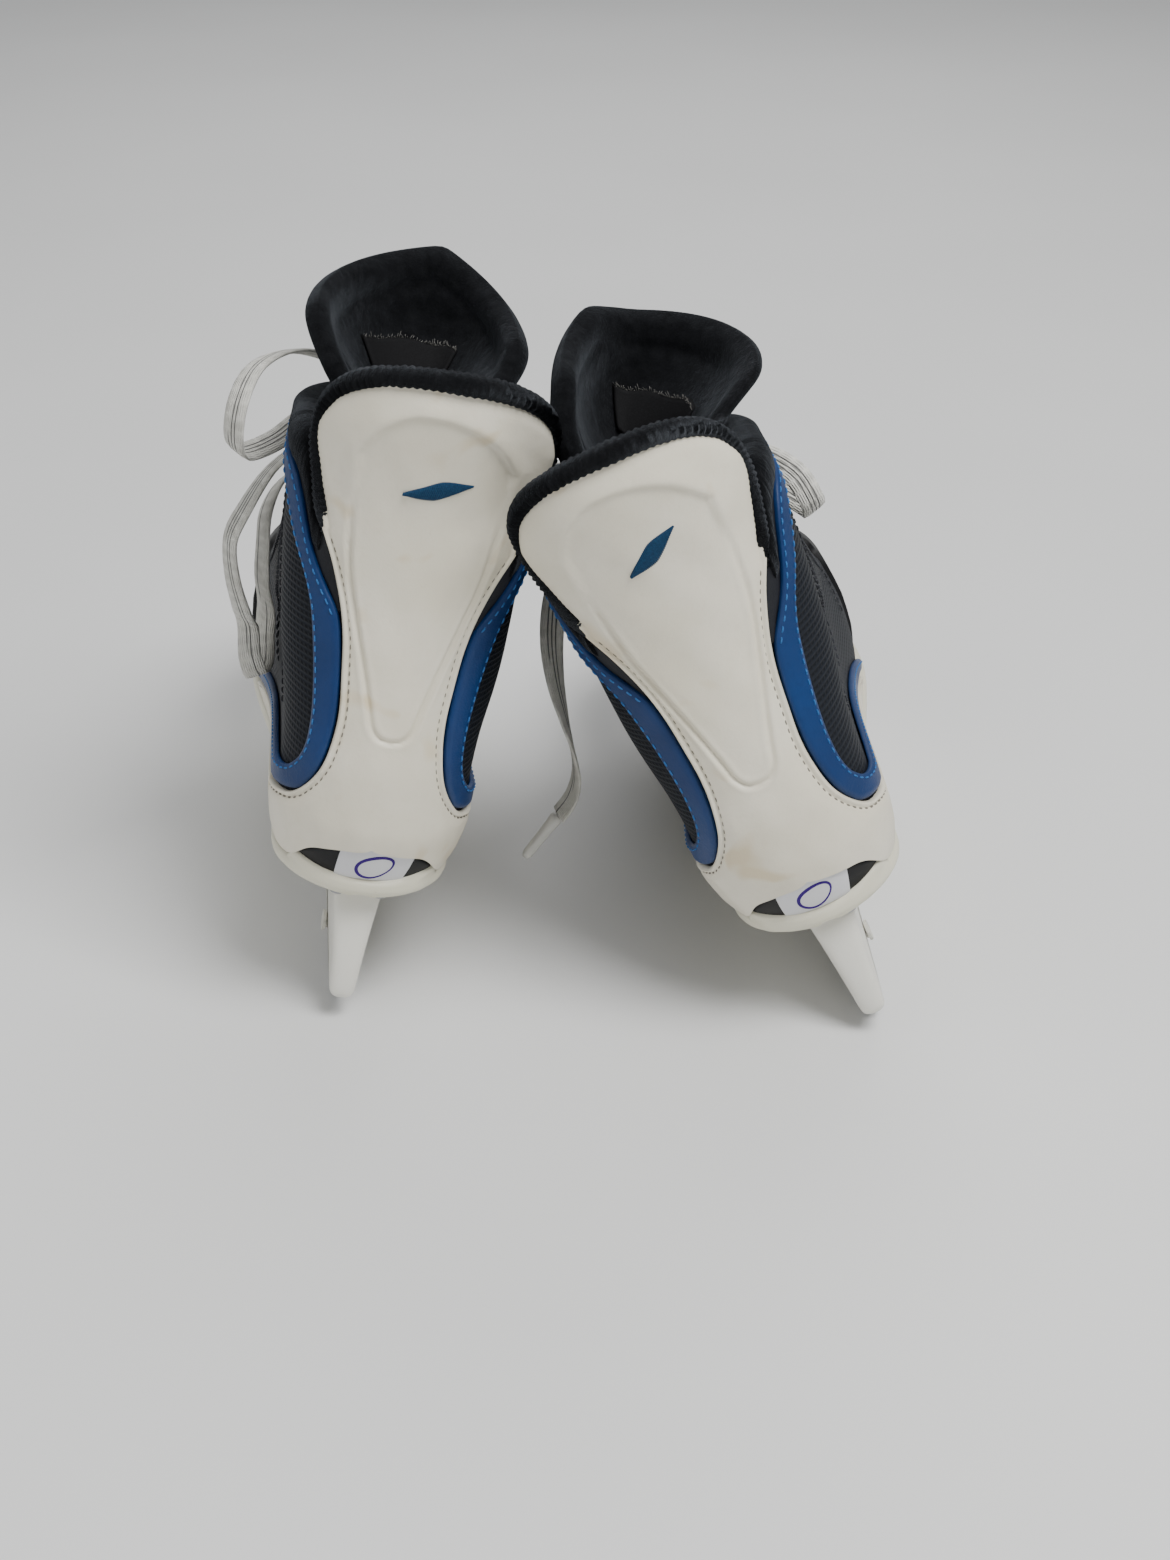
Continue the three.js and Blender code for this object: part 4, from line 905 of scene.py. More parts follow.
def swept_roll(name, place, ah, depth, radii, look, lump=0.18, seed=1, taper=3):
    """A felt roll along an (a, h) line; radii are across the surface and through it."""
    ah = resample(np.concatenate([np.column_stack([arc(ah[:, 0], place.medial), ah[:, 1]]),
                                  np.zeros((len(ah), 1))], 1), 2.0)[:, :2]
    s, table = ARCS[(place.medial, 1)]
    _, other = ARCS[(place.medial, -1)]
    a = np.where(ah[:, 0] >= 0, np.interp(np.abs(ah[:, 0]), table, s), -np.interp(np.abs(ah[:, 0]), other, s))
    h = ah[:, 1]
    depths = np.atleast_1d(depth)
    d = np.interp(np.linspace(0, 1, len(a)), np.linspace(0, 1, len(depths)), depths)
    centre = place.off(a, h, d)
    out = normal_at(a, h, place.medial)
    tangent = unit(np.gradient(centre, axis=0))
    across = unit(np.cross(tangent, out))
    out = np.cross(across, tangent)
    rng = np.random.default_rng(seed)
    angle = np.arange(16) * 2 * math.pi / 16
    wobble = 1 + lump * np.convolve(rng.normal(0, 0.4, len(a) + 6), np.ones(5) / 5, "same")[3:-3]
    wobble = wobble[:, None]
    outline = np.stack([radii[0] * np.cos(angle) * wobble, radii[1] * np.sin(angle) * wobble], -1)
    ends = np.minimum(np.arange(len(a)), np.arange(len(a))[::-1])
    outline = outline * np.interp(ends / taper, [0, 0.33, 0.67, 1], [0.25, 0.7, 0.93, 1])[:, None, None]
    points, faces = tube(centre, (across, out), outline)
    return mesh_object(name, place.row(points), faces, look)


def guard_soft_parts(place):
    side = place.side
    ah = guard_line()
    binding = swept_roll(side + "_guard_binding", place, ah, -0.4, (3.2, 4.7), FELT, seed=3, taper=9)
    bend(binding, place, "guard", "black_felt")
    rows, cols = 34, 34
    u = np.linspace(-1, 1, cols)
    crown = (1 - np.abs(u) ** CROWN) ** (1 / CROWN)
    top = lerp(GUARD_HEIGHT - CROWN_DROP, GUARD_HEIGHT, crown)
    v = np.linspace(0, 1, rows)
    h = lerp(NOTCH_HEIGHT - 10, top[None], v[:, None])
    a = u[None] * (along(GUARD_EDGE, h) - 0.004)
    base = on_boot(a, h, place.medial)
    far = edge_distance(base)
    round_ = rounded(far, 6.0)
    seam = 0.9 * np.exp(-((far - GUARD_PAD_SEAM) / 1.2) ** 2)
    outer = place.off(a, h, 0.4 - 2.5 * (1 - round_))
    inner = place.off(a, h, -2.5 - 5.6 * round_ + seam)
    points = np.concatenate([outer.reshape(-1, 3), inner.reshape(-1, 3)])
    pad = mesh_object(side + "_guard_pad", place.row(points), shell_faces(rows, cols), FELT)
    held = np.maximum(np.exp(-((far - GUARD_PAD_SEAM) / 1.5) ** 2), far < 3).ravel()
    held = np.concatenate([np.ones(far.size), held])
    inflate(pad, held, np.full(2 * far.size, GUARD_PAD_SWELL))
    smooth_mesh(pad)
    bend(pad, place, "guard", "black_felt", side + "_guard_lining")


def inflate(obj, held, caps):
    """Padding swollen by a cloth simulation.

    held (0 to 1) pins the seams, and caps limits each point's move, in millimetres.
    """
    count = len(obj.data.vertices)
    before = np.empty(count * 3)
    obj.data.vertices.foreach_get("co", before)
    pins = obj.vertex_groups.new(name="held")
    for i, weight in enumerate(held):
        pins.add([i], float(weight), "REPLACE")
    cloth = obj.modifiers.new("padding", "CLOTH")
    cloth.settings.vertex_group_mass = "held"
    cloth.settings.use_pressure = True
    cloth.settings.uniform_pressure_force = CLOTH_PRESSURE
    cloth.settings.effector_weights.gravity = 0
    scene = bpy.context.scene
    for step in range(1, CLOTH_FRAMES + 1):
        scene.frame_set(step)
    graph = bpy.context.evaluated_depsgraph_get()
    mesh = obj.evaluated_get(graph).to_mesh()
    after = np.empty(count * 3)
    mesh.vertices.foreach_get("co", after)
    obj.evaluated_get(graph).to_mesh_clear()
    moved = (after - before).reshape(-1, 3)
    far = np.linalg.norm(moved, axis=1)
    share = np.minimum(1, np.asarray(caps) / 1000 / np.maximum(far, 1e-9))
    obj.modifiers.clear()
    obj.vertex_groups.clear()
    scene.frame_set(1)
    obj.data.vertices.foreach_set("co", before + (moved * share[:, None]).ravel())
    obj.data.update()


def smooth_mesh(obj, levels=1):
    """Adds subdivision and applies it."""
    made = obj.modifiers.new("smooth", "SUBSURF")
    made.levels = made.render_levels = levels
    graph = bpy.context.evaluated_depsgraph_get()
    mesh = bpy.data.meshes.new_from_object(obj.evaluated_get(graph))
    obj.modifiers.clear()
    obj.data = mesh
    mesh.polygons.foreach_set("use_smooth", np.ones(len(mesh.polygons), bool))


# ---- Sides of the boot ----
def front_edge(h):
    return lerp(CAP_EDGE, FACING, ease((h - 40) / 25))


def quarter(place, name, sign):
    def where(u, v):
        level = lerp(0.6, COLLAR_HEIGHT, v)
        a = lerp(0.002, front_edge(level), u)
        return sign * a, lerp(0.6, along(COLLAR, a), v)

    def relief(a, h, base, far):
        s = np.abs(a)
        crease = np.exp(-((s - 0.62 + 0.0016 * (h - 60)) / 0.012) ** 2) * ease((h - 20) / 30) * 0.5
        return 0.25 * np.sin(h / 9 + s * 22) * ease(far / 20) - crease

    made = sheet_piece(f"{place.side}_quarter_{name}_cloth", place, where, WEAVE, -2.2, 0.0, 120, 70,
                       relief=relief)
    ride(made, place.side + "_boot", "side_fabric", f"{place.side}_quarter_{name}")


def strip_piece(place, name, sign, inner, outer, look, slot, low, high, cols, rows, *nodes):
    def where(u, v):
        p, q = spline(inner, v), spline(outer, v)
        ah = p + (q - p) * u[..., None]
        return sign * ah[..., 0], ah[..., 1]

    made = sheet_piece(f"{place.side}_{name}", place, where, look, low, high, cols, rows, radius=1.0)
    return ride(made, place.side + "_boot", slot, *nodes)


def inset_line(outer, inner, distance, place, low=0.0, high=1.0, count=60):
    """A line distance millimetres in from outer towards inner."""
    t = np.linspace(low, high, count)
    p, q = spline(outer, t), spline(inner, t)
    width = np.linalg.norm(place.off(p[:, 0], p[:, 1], 0) - place.off(q[:, 0], q[:, 1], 0), axis=1)
    return p + (q - p) * np.minimum(0.48, distance / np.maximum(width, 0.1))[:, None]


def bands(place):
    side, body = place.side, place.side + "_boot"
    for name, sign in (("lateral", -place.medial), ("medial", place.medial)):
        strip_piece(place, f"band_{name}_leather", sign, BAND_INNER, BAND_OUTER, BLUE, "blue_leather",
                    0.3, 2.3, 18, 150, f"{side}_band_{name}")
        lines = [inset_line(BAND_OUTER, BAND_INNER, 1.5, place) * (sign, 1),
                 inset_line(BAND_INNER, BAND_OUTER, 1.5, place, 0, 0.47) * (sign, 1)]
        made = stitches(f"{side}_band_{name}_stitches", place, lines, 2.3, THREAD_BLUE, 2.2, 1.1, 0.3)
        ride(made, body, "blue_leather")
        # Dark leather between the collar, the heel cover and the band.
        upper = [(0.106, 87), (0.113, 94), (0.126, 101), (0.139, 107), (0.156, 111), (0.175, 115),
                 (0.19, 121), (0.21, 127), (0.25, 131.5), (0.3, 133)]
        lower = [(0.112, 85.5), (0.13, 92), (0.15, 97), (0.166, 102.5), (0.18, 108), (0.195, 114),
                 (0.21, 119), (0.23, 123.5), (0.258, 127.5), (0.3, 129)]
        strip_piece(place, f"ankle_leather_{name}", sign, upper, lower, DARK, "dark_leather",
                    0.05, 0.75, 18, 60)
        creases = [[(0.3, 118), (0.36, 105), (0.4, 88), (0.41, 70), (0.39, 52), (0.34, 38)],
                   [(0.44, 118), (0.5, 100), (0.53, 80), (0.53, 60), (0.5, 42), (0.46, 30)],
                   [(0.455, 118), (0.515, 100), (0.545, 80), (0.545, 60), (0.515, 42), (0.475, 30)],
                   [(0.6, 100), (0.64, 82), (0.66, 60), (0.65, 40), (0.63, 22)]]
        lines = [[(sign * p, q) for p, q in line] for line in creases]
        seams = stitches(f"{side}_side_{name}_seams", place, lines, 0.35, THREAD_DARK, 2.4, 1.0, 0.32)
        ride(seams, body, "side_fabric")


RIM = [(-9.0, 0.4), (-8.6, 1.4), (-6.5, 2.0), (-3.5, 2.3), (-0.5, 2.1), (1.8, 0.9), (3.1, -1.2), (3.5, -3.8),
       (3.0, -6.4), (1.4, -8.6), (-1.2, -9.9), (-4.5, -10.4), (-8.5, -10.3), (-12.0, -9.6), (-12.0, -6.0),
       (-9.5, -2.6)]


def collar_rim(place, name, sign):
    """The felt roll over the collar, from the notch to the facing."""
    a = np.concatenate([np.linspace(0.153, 0.25, 44), np.linspace(0.256, FACING - 0.004, 60)])
    top = along(COLLAR, a)
    drop = lerp(1.0, 0.62, ease((a - 0.24) / 0.14))
    points = []
    rng = np.random.default_rng(7)
    for i, (s, h) in enumerate(zip(a, top)):
        lump = 1 + 0.06 * rng.normal()
        for dh, depth in RIM:
            down = dh * (drop[i] if dh < 0 and depth > 0 else 1.0)
            grown = depth * lump if depth > 0 else depth
            points.append(place.off(sign * s, h + down, grown))
    n, m = len(a), len(RIM)
    faces = []
    for j in range(n - 1):
        for i in range(m):
            p, q = j * m + i, j * m + (i + 1) % m
            faces.append((p, q, q + m, p + m))
    faces.append(tuple(range(m))[::-1])
    faces.append(tuple((n - 1) * m + i for i in range(m)))
    made = mesh_object(f"{place.side}_collar_rim_{name}", place.row(np.array(points)), faces, FELT)
    weld(made, 1e-7)
    smooth_mesh(made)
    ride(made, place.side + "_boot", "black_felt")


def eyestay(place, name, sign):
    side, body = place.side, place.side + "_boot"

    def where(u, v):
        return sign * lerp(0.8, FACING - 0.008, u), lerp(64.0, 131.0, v)

    made = sheet_piece(f"{side}_eyestay_{name}_leather", place, where, DARK, 0.2, 2.3, 20, 50)
    ride(made, body, "dark_leather", f"{side}_eyestay_{name}")
    edge = np.array([(sign * (FACING - 0.004), h) for h in np.linspace(60, 131, 12)])
    piping = swept_roll(f"{side}_facing_piping_{name}", place, edge, 0.4, (1.3, 1.9), OLIVE, lump=0.03)
    ride(piping, body, "dark_leather")
    lines = [[(sign * 0.812, h) for h in np.linspace(66, 129, 8)]]
    ride(stitches(f"{side}_eyestay_{name}_stitches", place, lines, 2.3, THREAD_DARK), body, "dark_leather")
    angle = np.arange(24) * 2 * math.pi / 24
    profile = np.array([(1.7, -1.2), (1.75, 0.5), (2.1, 0.95), (2.8, 0.9), (3.3, 0.45), (3.35, -0.2)])
    points, faces = [], []
    for i in range(7):
        h = lerp(68.0, 127.0, i / 6)
        centre = place.off(sign * 0.868, h, 2.2)
        out = normal_at(sign * 0.868, h, place.medial)
        x = unit(np.cross(out, (0, 0, 1.0)))
        y = np.cross(out, x)
        start = len(points)
        for r, z in profile:
            points.extend(centre + out * z + r * (math.cos(t) * x + math.sin(t) * y) for t in angle)
        for j in range(len(profile) - 1):
            for k in range(24):
                p, q = start + j * 24 + k, start + j * 24 + (k + 1) % 24
                faces.append((p, p + 24, q + 24, q))
    eyelets = mesh_object(f"{side}_eyelets_{name}", place.row(np.array(points)), faces, BOLT)
    ride(eyelets, body, "bolts")


def toe_cap(place):
    def where(u, v):
        h = lerp(1.0, 58.0, v)
        edge = front_edge(h) + 0.006
        return lerp(edge, 2 - edge, u), h

    def relief(a, h, base, far):
        ridge = np.exp(-((h - 12) / 1.6) ** 2) + 0.8 * np.exp(-((h - 16.5) / 1.4) ** 2)
        return 0.5 * ridge * ease(far / 8)

    made = sheet_piece(place.side + "_toe_cap_shell", place, where, BLACK, -2.2, 1.5, 90, 60, 1.6, relief)
    ride(made, place.side + "_boot", "toe_plastic", place.side + "_toe_cap")


def heel_insert(place):
    side, body = place.side, place.side + "_boot"

    def where(u, v):
        a = lerp(-0.178, 0.178, u)
        return a, lerp(0.4, 15 * (1 - (a / ARCH_HALF) ** 2) - 0.7, v)

    made = sheet_piece(side + "_heel_insert_plate", place, where, BLACK, 0.3, 1.6, 40, 20, 0.6)
    ride(made, body, "insert_black", side + "_heel_insert")
    lean = 0.012 if side == "left" else -0.004

    def paper(u, v):
        a = lean + lerp(-0.074, 0.08, u) + 0.012 * (v - 0.5)
        return a, lerp(0.6, 14.6, v) - 22 * (a - lean) ** 2 * 8 * v

    label = sheet_piece(side + "_paper_label", place, paper, PAPER, 1.6, 1.85, 24, 20, 0.3)
    ride(label, body, "insert_black")
    turn = np.linspace(0, 2 * math.pi, 61)
    radius = 1 + 0.05 * np.sin(2 * turn + 0.6) + 0.03 * np.sin(3 * turn)
    width = 1.15 + 0.35 * np.sin(turn - 0.8)
    points, faces = [], []
    for t, r, w in zip(turn, radius, width):
        for k, lift in ((-0.5, 1.86), (-0.25, 1.98), (0.25, 1.98), (0.5, 1.86)):
            x = (6.9 * r + k * w) * math.cos(t)
            z = (4.6 * r + k * w) * math.sin(t) + 0.15 * x
            points.append(place.off(lean + 0.003 + x / 195, 6.6 + z, lift))
    for j in range(60):
        for k in range(3):
            p = j * 4 + k
            faces.append((p, p + 1, p + 5, p + 4))
    ring = mesh_object(side + "_label_ring", place.row(np.array(points)), faces, INK)
    ride(ring, body, "insert_black")


# ---- Sole ----
def sole_plate(place, name, look, slot, inset, low, high, level, radius, node):
    rows, cols = 90, 24
    t = spread(rows, 0.03)
    u = spread(cols, 0.1)
    s = lerp(0.02, 0.98, ease(t) * 0.5 + t * 0.5)
    right = off_boot(s, level, -inset, place.medial)
    left = off_boot(-s, level, -inset, place.medial)
    x = left[:, None, 0] + (right[:, None, 0] - left[:, None, 0]) * u[None]
    y = np.broadcast_to(right[:, None, 1], x.shape)
    flat = np.stack([x, y, np.zeros_like(x)], -1)
    round_ = rounded(edge_distance(flat), radius)
    middle, half = (low + high) / 2, (high - low) / 2
    top = sole_line(y) + middle + half * (0.25 + 0.75 * round_)
    under = sole_line(y) + middle - half * (0.25 + 0.75 * round_)
    sides = [np.stack([x, y, z], -1).reshape(-1, 3) for z in (top, under)]
    points = np.concatenate(sides)
    made = mesh_object(f"{place.side}_{name}", place.row(points), shell_faces(*x.shape), look)
    weld(made, 1e-7)
    return ride(made, place.side + "_boot", slot, node)


def heel_cup(place):
    """The cream rim that rises round the back of the heel."""
    def where(u, v):
        a = lerp(-0.2, 0.2, u)
        top = 0.4 + 4.6 * np.clip(np.abs(a) / 0.175, 0, 1) ** 2
        top = np.where(np.abs(a) > 0.175, top - 260 * (np.abs(a) - 0.175), top)
        return a, lerp(-6.0, top, v)

    def high(a, h):
        return 3.4 - 0.9 * ease((np.abs(a) - 0.13) / 0.06)

    made = sheet_piece(place.side + "_heel_cup", place, where, CREAM, 0.0, high, 60, 16, 2.2)
    ride(made, place.side + "_boot", "outsole")


def side_outline():
    """The holder in side view: (y, z) points round it."""
    top = lambda y: float(sole_line(y)) - 6.8
    length = BOOT_LENGTH
    path = [("to", (10, 7.5)), ("to", (26, 9)), ("to", (length - 26, 9)),
            ("curve", (length - 13, 11), (length - 10, 19)),
            ("curve", (length - 15, 23), (length - 26, 27)),
            ("curve", (length - 33, 30), (length - 34, top(length - 34))),
            ("to", (ARCH_END + 6, top(ARCH_END + 6))),
            ("curve", (ARCH_END - 2, 30), (ARCH_END - 14, 25)),
            ("curve", (ARCH_END - 30, 22), (96, 25)), ("curve", (82, 31), (78, top(78))),
            ("to", (12, top(12))), ("curve", (6.5, 30), (5.5, 11)), ("curve", (6, 7.5), (10, 7.5))]
    out = []
    for kind, *points in path:
        if kind == "to":
            out.append(np.array(points[0], float))
            continue
        start, control, end = out[-1], np.array(points[0], float), np.array(points[1], float)
        for t in np.linspace(0, 1, 13)[1:]:
            out.append((1 - t) ** 2 * start + 2 * t * (1 - t) * control + t * t * end)
    return np.array(out[:-1])


def holder(place):
    """The white blade holder: its side view, with its width from its height, edges rounded."""
    half = [(7.5, 3.1), (10.5, 4.2), (22, 5.0), (36, 6.6), (47, 8.2)]
    line = side_outline()
    dense = []
    for p, q in zip(line, np.roll(line, -1, axis=0)):
        steps = max(1, int(np.linalg.norm(q - p) / 4))
        dense += [p + (q - p) * k / steps for k in range(steps)]
    line = np.array(dense)
    tangent = unit(np.roll(line, -1, axis=0) - np.roll(line, 1, axis=0))
    inward = np.stack([-tangent[:, 1], tangent[:, 0]], 1)
    layers = []
    for share, inset in ((-1, 3.4), (-0.97, 2.3), (-0.88, 1.2), (-0.7, 0.5), (-0.4, 0.1), (0, 0), (0.4, 0.1),
                         (0.7, 0.5), (0.88, 1.2), (0.97, 2.3), (1, 3.4)):
        p = line + inward * inset
        layers.append(np.stack([share * along(half, p[:, 1]), p[:, 0], p[:, 1]], 1))
    n = len(line)
    points = np.concatenate(layers)
    faces = []
    for j in range(len(layers) - 1):
        for i in range(n):
            p, q = j * n + i, j * n + (i + 1) % n
            faces.append((p, p + n, q + n, q))
    faces.append(tuple(range(n)))
    faces.append(tuple((len(layers) - 1) * n + i for i in range(n))[::-1])
    made = mesh_object(place.side + "_holder_body", place.row(points), faces, HOLDER)
    weld(made, 1e-7)
    ride(made, place.side + "_boot", "holder_plastic", place.side + "_blade_holder")
    for name, start, end in (("rear", 0.06, 0.42), ("front", 0.62, 0.86)):
        t = lerp(start, end, spread(26, 0.08))
        s = lerp(0.03, 0.97, ease(t) * 0.5 + t * 0.5)
        right, left = (off_boot(g * s, 0.5, -11, place.medial) for g in (1, -1))
        u = spread(18, 0.1)
        middle = (right[:, None, 0] + left[:, None, 0]) / 2
        x = middle + (left[:, None, 0] + (right[:, None, 0] - left[:, None, 0]) * u[None] - middle) * 0.86
        y = np.broadcast_to(right[:, None, 1], x.shape)
        far = edge_distance(np.stack([x, y, np.zeros_like(x)], -1))
        fillet = 5 * np.exp(-(np.abs(x - middle) / 5.5) ** 2) * ease(far / 12)
        top = sole_line(y) - 6.8
        under = sole_line(y) - 8.3 - 1.5 * rounded(far, 1.8) - fillet
        both = np.concatenate([np.stack([x, y, z], -1).reshape(-1, 3) for z in (top, under)])
        plate = mesh_object(f"{place.side}_holder_plate_{name}", place.row(both), shell_faces(*x.shape),
                            HOLDER)
        ride(plate, place.side + "_boot", "holder_plastic")


def bolts_and_rivets(place):
    side, body = place.side, place.side + "_boot"
    for name in ("runner", "runner_bolt_rear", "runner_bolt_front"):
        node = frame["nodes"][f"{side}_{name}"]
        node.data.materials.clear()
        node.data.materials.append(STEEL if name == "runner" else PAINTED)
        edge = node.modifiers.new("edge", "BEVEL")
        edge.width = 0.0002 if name == "runner" else 0.0003
        edge.segments = 2
        edge.limit_method = "ANGLE"
        edge.angle_limit = math.radians(50)
    angle = np.arange(20) * 2 * math.pi / 20
    dome = np.array([(2.9, 0.0), (2.9, 0.35), (2.6, 0.85), (1.9, 1.2), (1.0, 1.4), (0.25, 1.45)])
    points, faces = [], []
    for y in (14, 26, 44, 62, 190, 206, 218):
        for x in (-9.5, 9.5):
            if y in (14, 218):
                x *= 0.7
            centre = np.array([x + place.medial * TOE_SWING * (max(0, y - 100) / 150) ** 2, y,
                               float(sole_line(y)) - 10.0])
            start = len(points)
            for r, z in dome:
                points.extend(centre + (r * math.cos(t), r * math.sin(t), -z) for t in angle)
            for j in range(len(dome) - 1):
                for k in range(20):
                    p, q = start + j * 20 + k, start + j * 20 + (k + 1) % 20
                    faces.append((p, q, q + 20, p + 20))
            faces.append(tuple(start + (len(dome) - 1) * 20 + k for k in range(20)))
    rivets = mesh_object(side + "_holder_rivets", place.row(np.array(points)), faces, BOLT)
    ride(rivets, body, "bolts")


# ---- Inside ----
def inside(place):
    side, body = place.side, place.side + "_boot"

    def where(u, v):
        s = np.abs(2 * u - 1)
        level = lerp(4.0, COLLAR_HEIGHT - 2, v)
        a = lerp(0.0, front_edge(level) - 0.012, s)
        return np.where(u < 0.5, -a, a), lerp(4.0, along(COLLAR, a) - 1.5, v)

    def inward(a, h):
        channel = np.exp(-(((h - 20) % 26 - 13) / 1.4) ** 2) * ease((h - 30) / 20)
        return -9.9 + 0.9 * channel - 0.5 * ease((h - 60) / 50)

    v, u = np.meshgrid(np.linspace(0, 1, 60), np.linspace(0, 1, 160), indexing="ij")
    a, h = where(u, v)
    outer, inner = place.off(a, h, -5.8), place.off(a, h, inward(a, h))
    points = np.concatenate([outer.reshape(-1, 3), inner.reshape(-1, 3)])
    uv = np.stack([arc(a, place.medial), h], -1).reshape(-1, 2) / 100
    lining = mesh_object(side + "_liner_knit", place.row(points), shell_faces(*a.shape), KNIT,
                         uv=np.concatenate([uv, uv]))
    ride(lining, body, "liner_fabric", side + "_liner")
    counter = frame["nodes"][side + "_heel_counter"]
    counter.data.materials.clear()
    counter.data.materials.append(BLACK)
    sole_plate(place, "insole_board_plate", BOARD, "board", 4.2, 0.0, 2.2, 0.5, 1.0, side + "_insole_board")
    sole_plate(place, "footbed_pad", FELT, "footbed_fabric", 11.3, 2.5, 6.0, 5.0, 2.0, side + "_footbed")


# ---- Tongue ----
TONGUE_FLARE = [(137, 0.29), (141.5, 0.33), (145.5, 0.53), (151, 0.57), (167, 0.59)]
TONGUE_TOP = [(0, 187), (0.3, 177), (0.5, 170), (1, 151)]


def tongue_surface(place, across, h, thickness):
    """Points of the tongue: across from -1 to 1, h above the sole line, at thickness from its outer face."""
    low = 138.2
    half = np.where(h < low, 0.279, along(TONGUE_FLARE, h))
    outer = lerp(TONGUE_OUTER, 2.0, ease((h - low - 2) / 26))
    points = place.off(1 + across * half, h, outer - thickness)
    angle = math.radians(place.tilt) * ease((h - low) / 25)
    x, rise = points[..., 0].copy(), points[..., 2] - float(sole_line(CUFF_DEPTH)) - low
    points[..., 0] = x * np.cos(angle) + rise * np.sin(angle) + place.shift * ease((h - low) / 40)
    points[..., 2] += rise * (np.cos(angle) - 1) - x * np.sin(angle)
    return points


def tongue(place):
    side = place.side
    cols, rows = 45, 60
    across = np.linspace(-1, 1, cols)
    edge = along(TONGUE_TOP, np.abs(across - place.peak))
    v = np.linspace(0, 1, rows)
    h = lerp(55.0, edge[None], v[:, None])
    wide = np.broadcast_to(across[None], h.shape)
    middle = tongue_surface(place, wide, h, 3.5)
    far = edge_distance(middle)
    upper = ease((h - 128) / 20)
    full = lerp(6.0, 8.5, upper)
    round_ = rounded(far, 5.5)
    seam = 1.3 * np.exp(-((far - 11.5) / 1.3) ** 2) * upper
    channels = 0.8 * np.exp(-((np.abs(wide) * 38 - 13) / 1.5) ** 2) * (1 - upper)
    outer = tongue_surface(place, wide, h, full / 2 * (1 - round_) + channels)
    inner = tongue_surface(place, wide, h, full / 2 + full / 2 * round_ - seam)
    points = np.concatenate([outer.reshape(-1, 3), inner.reshape(-1, 3)])
    made = mesh_object(side + "_tongue_felt", place.row(points), shell_faces(rows, cols), FELT)
    held = np.maximum(np.exp(-((far - 11.5) / 1.6) ** 2), h < 125).ravel()
    inflate(made, np.concatenate([held, held]), np.tile(1.6 * upper.ravel() + 0.1, 2))
    smooth_mesh(made)
    bend(made, place, "tongue", "black_felt", side + "_tongue", side + "_tongue_top")

    # The woven label on its inner face, with a frayed top edge.
    u, w = np.meshgrid(np.linspace(-1, 1, 26), np.linspace(0, 1, 12), indexing="xy")
    centre, base, tilt = (0.04, 147.0, 0.0) if side == "left" else (-0.1, 146.0, 5.0)

    def label_point(u, w, thickness):
        lift = base + w * 10.5 + tilt * u + 0.4 * w * np.sin(u * 7)
        return tongue_surface(place, centre + 0.24 * u, lift, thickness)

    points = np.concatenate([label_point(u, w, 8.4).reshape(-1, 3), label_point(u, w, 10.2).reshape(-1, 3)])
    label = mesh_object(side + "_tongue_label", place.row(points), shell_faces(12, 26), PATCH)
    bend(label, place, "tongue", "black_felt")
    rng = np.random.default_rng(11)
    points, faces = [], []
    for u in np.linspace(-1, 1, 60):
        foot = label_point(np.array(u), np.array(1.0), 10.1)
        tip = foot + rng.normal(0, 0.5, 3) + (0, 0, 0.7 + 0.6 * rng.random())
        across = unit(np.cross(tip - foot, (0.3, 1, 0))) * 0.13
        out = unit(np.cross(across, tip - foot)) * 0.13
        start = len(points)
        for end, size in ((foot, 1.0), (tip, 0.4)):
            points += [end + size * across, end + size * out, end - size * across]
        faces += [(start + k, start + (k + 1) % 3, start + 3 + (k + 1) % 3, start + 3 + k) for k in range(3)]
        faces += [(start + 2, start + 1, start), (start + 3, start + 4, start + 5)]
    fray = mesh_object(side + "_label_fray", place.row(np.array(points)), faces, FRAY)
    bend(fray, place, "tongue", "black_felt")


# ---- Lacing ----
LACE_DIP = [(0, TONGUE_OUTER + 1.6), (0.044, TONGUE_OUTER + 4), (0.088, 3.4), (0.1, 3.6), (0.14, 3.6)]


def lacing(place):
    side, body = place.side, place.side + "_boot"
    rows = [lerp(68.0, 127.0, i / 6) for i in range(7)]
    runs = [((0.132, rows[0]), (-0.132, rows[0]), 0.0)]
    for low, high in zip(rows[:-1], rows[1:]):
        runs.append(((-0.132, low), (0.132, high), 0.0))
        runs.append(((0.132, low), (-0.132, high), 1.5))
    points, faces, uvs = [], [], []
    outline = flat_outline(6.4, 1.2)
    for (a0, h0), (a1, h1), over in runs:
        t = np.linspace(0, 1, 30)
        a, h = 1 + lerp(a0, a1, t), lerp(h0, h1, t)
        depth = along(LACE_DIP, np.abs(a - 1)) + over * np.sin(math.pi * t) ** 2
        depth = depth - 3.2 * (1 - ease(np.minimum(t, 1 - t) / 0.045))
        line = place.off(a, h, depth)
        out = normal_at(a, h, place.medial)
        tangent = unit(np.gradient(line, axis=0))
        across = unit(np.cross(tangent, out))
        made, quads = tube(line, (across, np.cross(across, tangent)), outline)
        start = sum(len(p) for p in points)
        points.append(made)
        faces += [tuple(start + i for i in q) for q in quads]
        run = np.concatenate([[0], np.cumsum(np.linalg.norm(np.diff(line, axis=0), axis=1))]) / 100
        uvs.append(np.stack([np.tile(outline[:, 0] / 10, len(line)), np.repeat(run * 10, len(outline))], 1))
    made = mesh_object(side + "_lacing_flat", place.row(np.concatenate(points)), faces, LACE,
                       uv=np.concatenate(uvs))
    ride(made, body, "lace", side + "_lacing")
    knot(place)


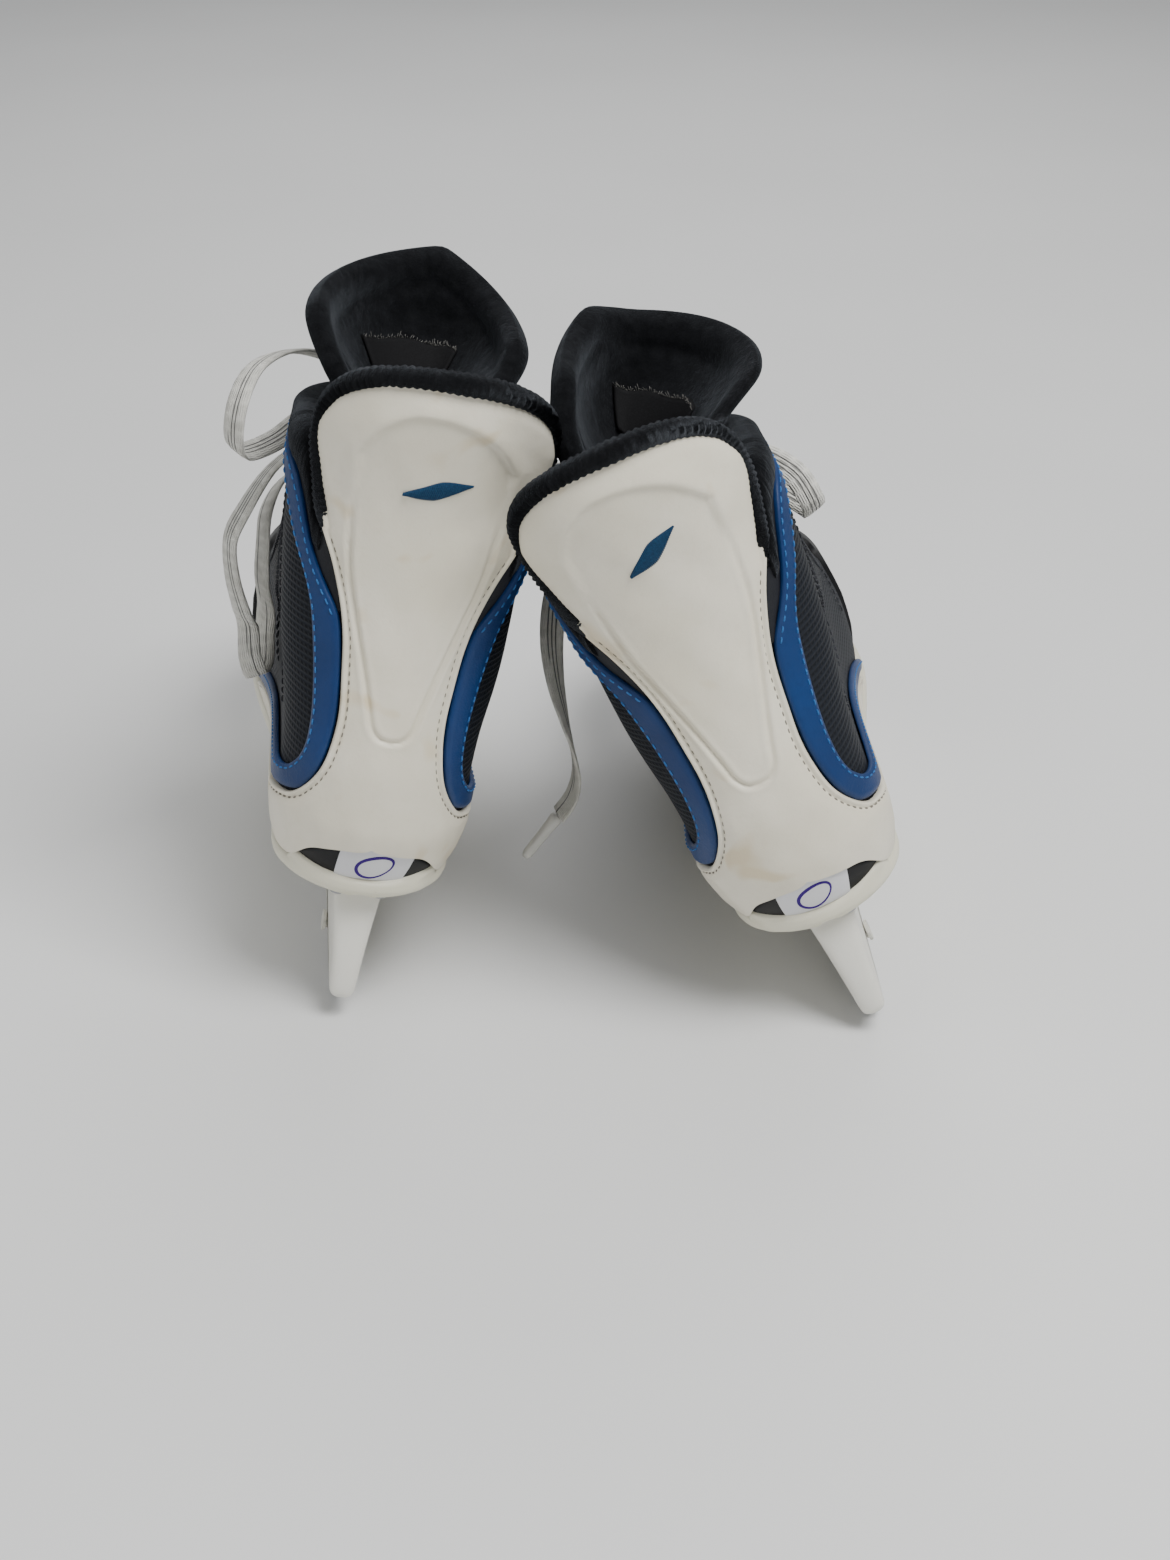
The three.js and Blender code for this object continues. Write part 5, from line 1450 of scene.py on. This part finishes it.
def knot(place):
    """The bow's knot: one lace wrapped over two that cross it."""
    centre = place.off(1, 123, -2.2)
    points, faces, uvs = [], [], []
    outline = flat_outline(7.6, 1.5)
    for tilt, lean, rx, ry in ((0, 0, 4.2, 5.8), (70, 15, 3.6, 7.2), (-64, -12, 3.3, 7.0), (90, 0, 2.6, 6.2)):
        t = np.linspace(0, 2 * math.pi, 30)
        turns = [Matrix.Rotation(math.radians(t), 3, axis) for t, axis in ((tilt, "Y"), (lean, "X"))]
        spin = np.array(turns[0] @ turns[1])
        line = np.stack([0.9 * np.sin(t * 0.5 + tilt), rx * np.cos(t), ry * np.sin(t)], 1) @ spin.T
        out = unit(line)
        tangent = unit(np.gradient(line, axis=0))
        across = unit(np.cross(tangent, out))
        made, quads = tube(line + centre, (across, np.cross(across, tangent)), outline)
        start = sum(len(p) for p in points)
        points.append(made)
        faces += [tuple(start + i for i in q) for q in quads]
        run = np.linspace(0, 4, len(line))
        uvs.append(np.stack([np.tile(outline[:, 0] / 10, len(line)), np.repeat(run, len(outline))], 1))
    made = mesh_object(place.side + "_bow_knot", place.row(np.concatenate(points)), faces, LACE,
                       uv=np.concatenate(uvs))
    ride(made, place.side + "_boot", "lace", place.side + "_lace_knot")


# ---- Stage ----
# Name, place in metres, size in metres, power in watts.
LIGHTS = [("key", (0.5, -0.55, 1.2), 0.6, 20), ("fill", (-1.0, -0.5, 0.8), 1.2, 4.5),
          ("back", (0.1, 1.1, 1.2), 1.0, 9)]
LIT_POINT = (0, 0, 0.12)


def stage():
    look = Look("floor", Roughness=0.9)
    colour = look.mix(look.span(look.noise(3, 2), 0.3, 0.7), (0.78, 0.78, 0.77), (0.74, 0.74, 0.73))
    material = look.finish(colour)
    mesh = bpy.data.meshes.new("floor")
    mesh.from_pydata([(-4, -3, 0), (4, -3, 0), (4, 6, 0), (-4, 6, 0)], [], [(0, 1, 2, 3)])
    mesh.materials.append(material)
    floor = bpy.data.objects.new("floor", mesh)
    floor.location.z = CAD_BOX[0].z - 0.0002
    bpy.context.scene.collection.objects.link(floor)
    world = bpy.data.worlds.new("studio")
    world.use_nodes = True
    world.node_tree.nodes["Background"].inputs[0].default_value = (0.95, 0.97, 1.0, 1)
    world.node_tree.nodes["Background"].inputs[1].default_value = 0.3
    bpy.context.scene.world = world
    for name, place, size, power in LIGHTS:
        light = bpy.data.lights.new(name, "AREA")
        light.energy, light.size = power, size
        lamp = bpy.data.objects.new(name, light)
        lamp.location = place
        lamp.rotation_euler = (Vector(LIT_POINT) - Vector(place)).to_track_quat("-Z", "Y").to_euler()
        bpy.context.scene.collection.objects.link(lamp)


for placed in PLACES.values():
    free_laces(placed)
for placed in PLACES.values():
    heel_cover(placed)
    motif(placed)
    guard_soft_parts(placed)
    for label, sign in (("lateral", -placed.medial), ("medial", placed.medial)):
        quarter(placed, label, sign)
        collar_rim(placed, label, sign)
        eyestay(placed, label, sign)
    bands(placed)
    toe_cap(placed)
    heel_insert(placed)
    sole_plate(placed, "outsole_plate", CREAM, "outsole", -2.6, -6.3, -0.3, 0.5, 2.4,
               placed.side + "_outsole")
    heel_cup(placed)
    holder(placed)
    bolts_and_rivets(placed)
    inside(placed)
    tongue(placed)
    lacing(placed)
stage()
